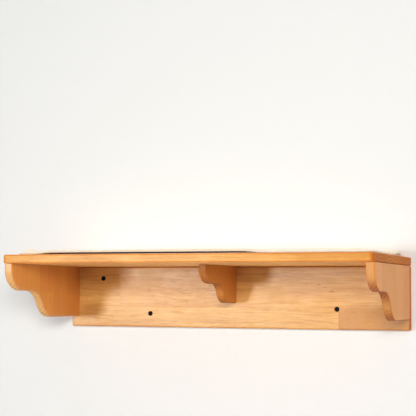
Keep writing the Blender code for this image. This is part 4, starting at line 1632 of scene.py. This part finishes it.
@dataclass
class PlushMat:
    """The plush mat: its cloth, and its pile in several pieces."""

    tape_half_length: float = field(default_factory=lambda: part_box("hook_strip_front")[1].x)
    box: Box = field(default_factory=lambda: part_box("mat"))
    base: float = 0.0685
    floor: float = 0.0661
    thickness: float = 0.0042
    pile_height: float = 0.0016
    pressed: float = 0.6
    pressed_depth: float = 0.06
    corner_radius: float = 0.014
    left_inset: float = 0.008
    lip_span: tuple[float, float] = (0.095, 0.135)
    lip_drop_before: float = 0.0001
    lip_drop_after: float = 0.0022
    lip_reach: float = 0.6
    sag_start_gap: float = 0.006
    sag_length: float = 0.040
    ripple: float = 0.0013
    ripple_seed: float = 4.0
    cell: float = 0.0035
    layers: int = 7
    pile_spacing: float = 0.00135
    tuft_radius: float = 0.00036
    tuft_lean: float = 0.55
    lowest_facing: float = -0.3
    pile_parts: tuple[str, ...] = ("left", "middle_left", "middle_right", "right")
    humps: tuple[Hump, ...] = (
        Hump(-0.975, -0.70, 0.0065, 0.015),
        Hump(0.93, 0.90, 0.0065, 0.042),
        Hump(0.90, -0.62, 0.003, 0.030),
    )

    def flat(self) -> tuple[float, float]:
        """The length and the depth that the mat is cut to."""
        low, high = self.box
        return high.x - low.x - self.left_inset, high.y - low.y

    def cloth_mesh(self, material: Material) -> Mesh:
        """Make the mat's cloth in its place.

        Args:
            material: Its finish.

        Returns:
            The mesh.
        """
        low, high = self.box
        length, depth = self.flat()
        middle = Vector(((low.x + self.left_inset + high.x) / 2, (low.y + high.y) / 2, self.base))
        values = named(self) | {
            "Length": length, "Depth": depth, "Thickness": self.thickness - self.pile_height / 2,
            "Sag": self.base - self.floor, "Sag Start": self.tape_half_length + self.sag_start_gap,
            "Lip Width": self.cell, "Lip From": self.lip_span[0] - middle.x,
            "Lip To": self.lip_span[1] - middle.x, "Columns": round(length / self.cell),
            "Rows": round(depth / self.cell), "Seed": self.ripple_seed, "Material": material}
        for number, hump in enumerate(self.humps):
            values[f"Hump {number} Height"] = hump.height
            values[f"Hump {number} Radius"] = hump.radius
            values[f"Hump {number} Middle"] = Vector((hump.length_share * length / 2,
                                                      hump.depth_share * depth / 2, 0))
        return placed(grown(mat_tree(len(self.humps)), values), Matrix.Translation(middle))

    def build(self) -> None:
        """Build and dress the mat."""
        low, high = self.box
        finish = Fibre("cream_cloth", (0.90, 0.83, 0.71), (0.76, 0.67, 0.53), weave_pitch=0.0011)
        cloth = self.cloth_mesh(finish.material())
        finish = Fibre("cream_pile", (0.92, 0.85, 0.73), (0.79, 0.70, 0.56), sheen=0.4)
        tree, material = pile_tree(), finish.material()
        count = len(self.pile_parts)
        bounds = [low.x + (high.x - low.x) * number / count for number in range(count + 1)]
        bounds[0] -= self.cell
        bounds[-1] += self.cell
        for number, part in enumerate(self.pile_parts):
            mesh = grown(tree, named(self) | {"From": bounds[number], "To": bounds[number + 1],
                                              "Seed": number + 1, "Material": material}, cloth.copy())
            present(f"mat_pile_{part}", mesh, Body.MAT, Slot.PLUSH)
        mat = present("plush_mat", cloth, Body.MAT, Slot.PLUSH, "mat")


@dataclass
class Viewpoint:
    """Where the picture is taken from."""

    place: Triple = (0.7096, -1.9841, 0.0025)
    yaw: float = 20.956
    pitch: float = 4.032
    roll: float = 0.307
    focal_pixels: float = 1243.6
    picture_pixels: float = 416.0
    sensor: float = 36.0

    def build(self) -> None:
        """Set up the camera."""
        camera = bpy.data.cameras.new("camera")
        camera.sensor_width = self.sensor
        camera.lens = self.focal_pixels / self.picture_pixels * self.sensor
        viewer = bpy.data.objects.new("camera", camera)
        yaw, pitch, roll = [Matrix.Rotation(math.radians(angle), 4, axis) for angle, axis in (
            (self.yaw, "Z"), (self.pitch, "X"), (self.roll, "Z"))]
        viewer.matrix_world = Matrix.Translation(self.place) @ yaw @ quarter_turns(1, "X") @ pitch @ roll
        bpy.context.scene.collection.objects.link(viewer)
        bpy.context.scene.camera = viewer


@dataclass
class Lamp:
    """A soft lamp, pointed at the shelf: where it stands, its width and its power in watts."""

    name: str
    place: Triple
    width: float
    power: float
    colour: Colour = (1.0, 1.0, 1.0)
    height: float = 0.0
    shines: bool = True

    def build(self) -> None:
        """Set up the lamp."""
        light = bpy.data.lights.new(self.name, "AREA")
        light.shape = "RECTANGLE"
        light.size = self.width
        light.size_y = self.height or self.width
        light.energy = self.power
        light.color = self.colour
        lamp = bpy.data.objects.new(self.name, light)
        lamp.visible_glossy = self.shines
        lamp.location = self.place
        lamp.rotation_mode = "QUATERNION"
        lamp.rotation_quaternion = (-Vector(self.place)).to_track_quat("-Z", "Y")
        bpy.context.scene.collection.objects.link(lamp)


@dataclass
class Studio:
    """A pale wall and floor, soft lamps and the camera."""

    wall_half_width: float = 4.0
    wall_top: float = 3.0
    floor_level: float = -1.3
    floor_front: float = -4.5
    opening_margin: float = 0.003
    wall_colour: Colour = (0.81, 0.81, 0.805)
    floor_colour: Colour = (0.60, 0.585, 0.56)
    world_colour: Colour = (1.0, 0.985, 0.965)
    world_strength: float = 0.03
    backdrop_strength: float = 0.80
    floor_glow: float = 0.40
    tooth_per_metre: float = 260.0
    clouds_per_metre: float = 1.5
    relief: float = 0.0004
    lamps: tuple[Lamp, ...] = (
        Lamp("key", (-1.45, -3.3, 0.0), 0.40, 47.5, (0.93, 0.98, 1.0)),
        Lamp("front", (0.75, -2.4, 0.385), 0.9, 41.0, (1.0, 0.97, 0.93), height=0.40, shines=False),
        Lamp("overhead", (0.2, -2.0, 1.5), 1.2, 4.0),
        Lamp("side", (2.7, -0.45, 0.05), 0.6, 4.0),
        Lamp("above", (-0.7, 0.8, 1.8), 0.8, 38.0),
        Lamp("rear", (-0.7, 2.3, 0.2), 1.2, 30.0),
    )

    def shown(self, g: Graph) -> Wire:
        """Whether a ray shows the backdrop: to the camera, in a reflection or through something clear."""
        rays = g.add("ShaderNodeLightPath").outputs
        return g.larger(g.larger(rays["Is Camera Ray"], rays["Is Glossy Ray"]), rays["Is Transmission Ray"])

    def paint(self, name: str, colour: Colour, glow: float) -> Material:
        """Make plain paint that doesn't show from behind and lets the lamps' light through.

        Args:
            name: The paint's name.
            colour: Its colour.
            glow: How brightly it shows by itself as a backdrop.

        Returns:
            The paint.
        """
        d = Dress(name)
        tooth, clouds = d.place.noise(self.tooth_per_metre, 3.0), d.place.noise(self.clouds_per_metre)
        d.shade({"Base Color": d.mix(clouds, colour, tuple(share * 0.985 for share in colour)),
                 "Roughness": tooth.remap(0.3, 0.7, 0.75, 0.9), "Specular IOR Level": 0.2,
                 "Emission Color": colour, "Emission Strength": self.shown(d) * glow})
        d.bump(tooth, self.relief, 0.4)
        unseen = d.larger(d.out("ShaderNodeNewGeometry", output="Backfacing"),
                          d.out("ShaderNodeLightPath", output="Is Shadow Ray"))
        clear = d.out("ShaderNodeBsdfTransparent")
        d.feed(d.tree.nodes["Material Output"].inputs["Surface"],
               d.out("ShaderNodeMixShader", {0: unseen, 1: d.shader.outputs[0], 2: clear}))
        return d.material

    def wall_mesh(self) -> Mesh:
        """Make the wall, left open behind both boards so that light reaches their backs.

        Returns:
            The mesh.
        """
        top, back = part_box("top_board"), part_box("back_board")
        margin = self.opening_margin
        inner = top[1].x - margin
        columns = (-self.wall_half_width, -inner, inner, self.wall_half_width)
        levels = (self.floor_level, back[0].z + margin, back[1].z - FIT_GAP, top[0].z + FIT_GAP,
                  top[1].z - margin, self.wall_top)
        bm = bmesh.new()
        grid = [[bm.verts.new((x, 0, z)) for x in columns] for z in levels]
        for row, (lower, upper) in enumerate(zip(grid, grid[1:])):
            for column in range(len(columns) - 1):
                if column != 1 or row not in (1, 3):
                    bm.faces.new((lower[column], lower[column + 1], upper[column + 1], upper[column]))
        return mesh_from("wall", bm)

    def floor_mesh(self) -> Mesh:
        """Make the floor.

        Returns:
            The mesh.
        """
        bm = bmesh.new()
        far, near = self.wall_half_width, self.floor_front
        corners = ((-far, near), (far, near), (far, far), (-far, far))
        bm.faces.new([bm.verts.new((x, y, self.floor_level)) for x, y in corners])
        return mesh_from("floor", bm)

    def build(self) -> None:
        """Set up the stage, the lamps and the camera."""
        scene = bpy.context.scene
        scene.view_settings.view_transform = "Standard"
        scene.world = bpy.data.worlds.new("studio")
        scene.world.use_nodes = True
        sky = Graph(scene.world.node_tree)
        background = sky.tree.nodes["Background"]
        sky.feed(background.inputs["Color"], opaque(self.world_colour))
        sky.feed(background.inputs["Strength"],
                 self.shown(sky).remap(0.0, 1.0, self.world_strength, self.backdrop_strength))
        for mesh, colour, glow in ((self.wall_mesh(), self.wall_colour, 0.0),
                                   (self.floor_mesh(), self.floor_colour, self.floor_glow)):
            mesh.materials.append(self.paint(mesh.name + "_paint", colour, glow))
            panel = bpy.data.objects.new(mesh.name, mesh)
            scene.collection.objects.link(panel)
        for lamp in self.lamps:
            lamp.build()
        Viewpoint().build()


def main() -> None:
    """Build the perch piece by piece, then the studio round it."""
    logging.basicConfig(level=logging.INFO, format="%(name)s: %(message)s")
    carcass = Carcass()
    TopBoard(carcass).build()
    BackBoard(carcass).build()
    end_curve = BracketCurve(0.0425, 0.042, 0.033, 0.186, 0.110)
    middle_curve = BracketCurve(0.030, 0.032, 0.024, 0.101, 0.050)
    timber = Lacquered("bracket_timber", GrainRun.BRACKET, amber_corners=0.0, figure_share=0.45,
                       roughness=0.46, amber_tint=(0.90, 0.72, 0.50), stave_width=0.0485, stave_length=0.30,
                       joint_shift=0.11)
    # On the left bracket, edges and down-facing end grain are tinted paler and bluer as a painted highlight,
    # and the staves nearer the wall are deeper, partly their own tone and partly painted shade under the top
    # board.
    Bracket(carcass, "left", end_curve, 0.043, 0.1585, replace(
        timber, seed=11.0, gloss=0.5, specular=0.8, end_tint=(1.2, 1.2, 1.1), edge_tint=(0.86, 1.08, 1.70),
        pale=(0.90, 0.40, 0.088), deep=(0.62, 0.22, 0.036),
        deeper_staves=((0, 0, 0.3), (1, 0, 0.45), (2, 0, 0.52)))).build()
    # The middle bracket is a darker, duller copy of the bracket timber with darker edges: painted shade of
    # the bay under the top board.
    Bracket(carcass, "middle", middle_curve, 0.150, 0.104, replace(
        timber, seed=14.0, gloss=0.05, specular=0.2, end_tint=(0.90, 0.80, 0.70),
        edge_tint=(0.80, 0.72, 0.66), pale=(0.70, 0.29, 0.072), deep=(0.54, 0.19, 0.038))).build()
    # On the right bracket, faces turned outward take a paler, bluer tint: painted light on its outer face.
    Bracket(carcass, "right", end_curve, 0.170, 0.207, replace(
        timber, seed=19.0, gloss=0.1, specular=0.3, end_tint=(0.80, 0.56, 0.48), edge_tint=(0.68, 0.72, 0.86),
        rear_tint=(1.07, 1.06, 1.14), pale=(0.88, 0.38, 0.095), deep=(0.70, 0.26, 0.050),
        deeper_staves=((-1, 0, -0.6), (-2, 0, -0.6)))).build()
    Fixings(carcass).build()
    Tape().build()
    PlushMat().build()
    Studio().build()


if __name__ == "__main__":
    main()
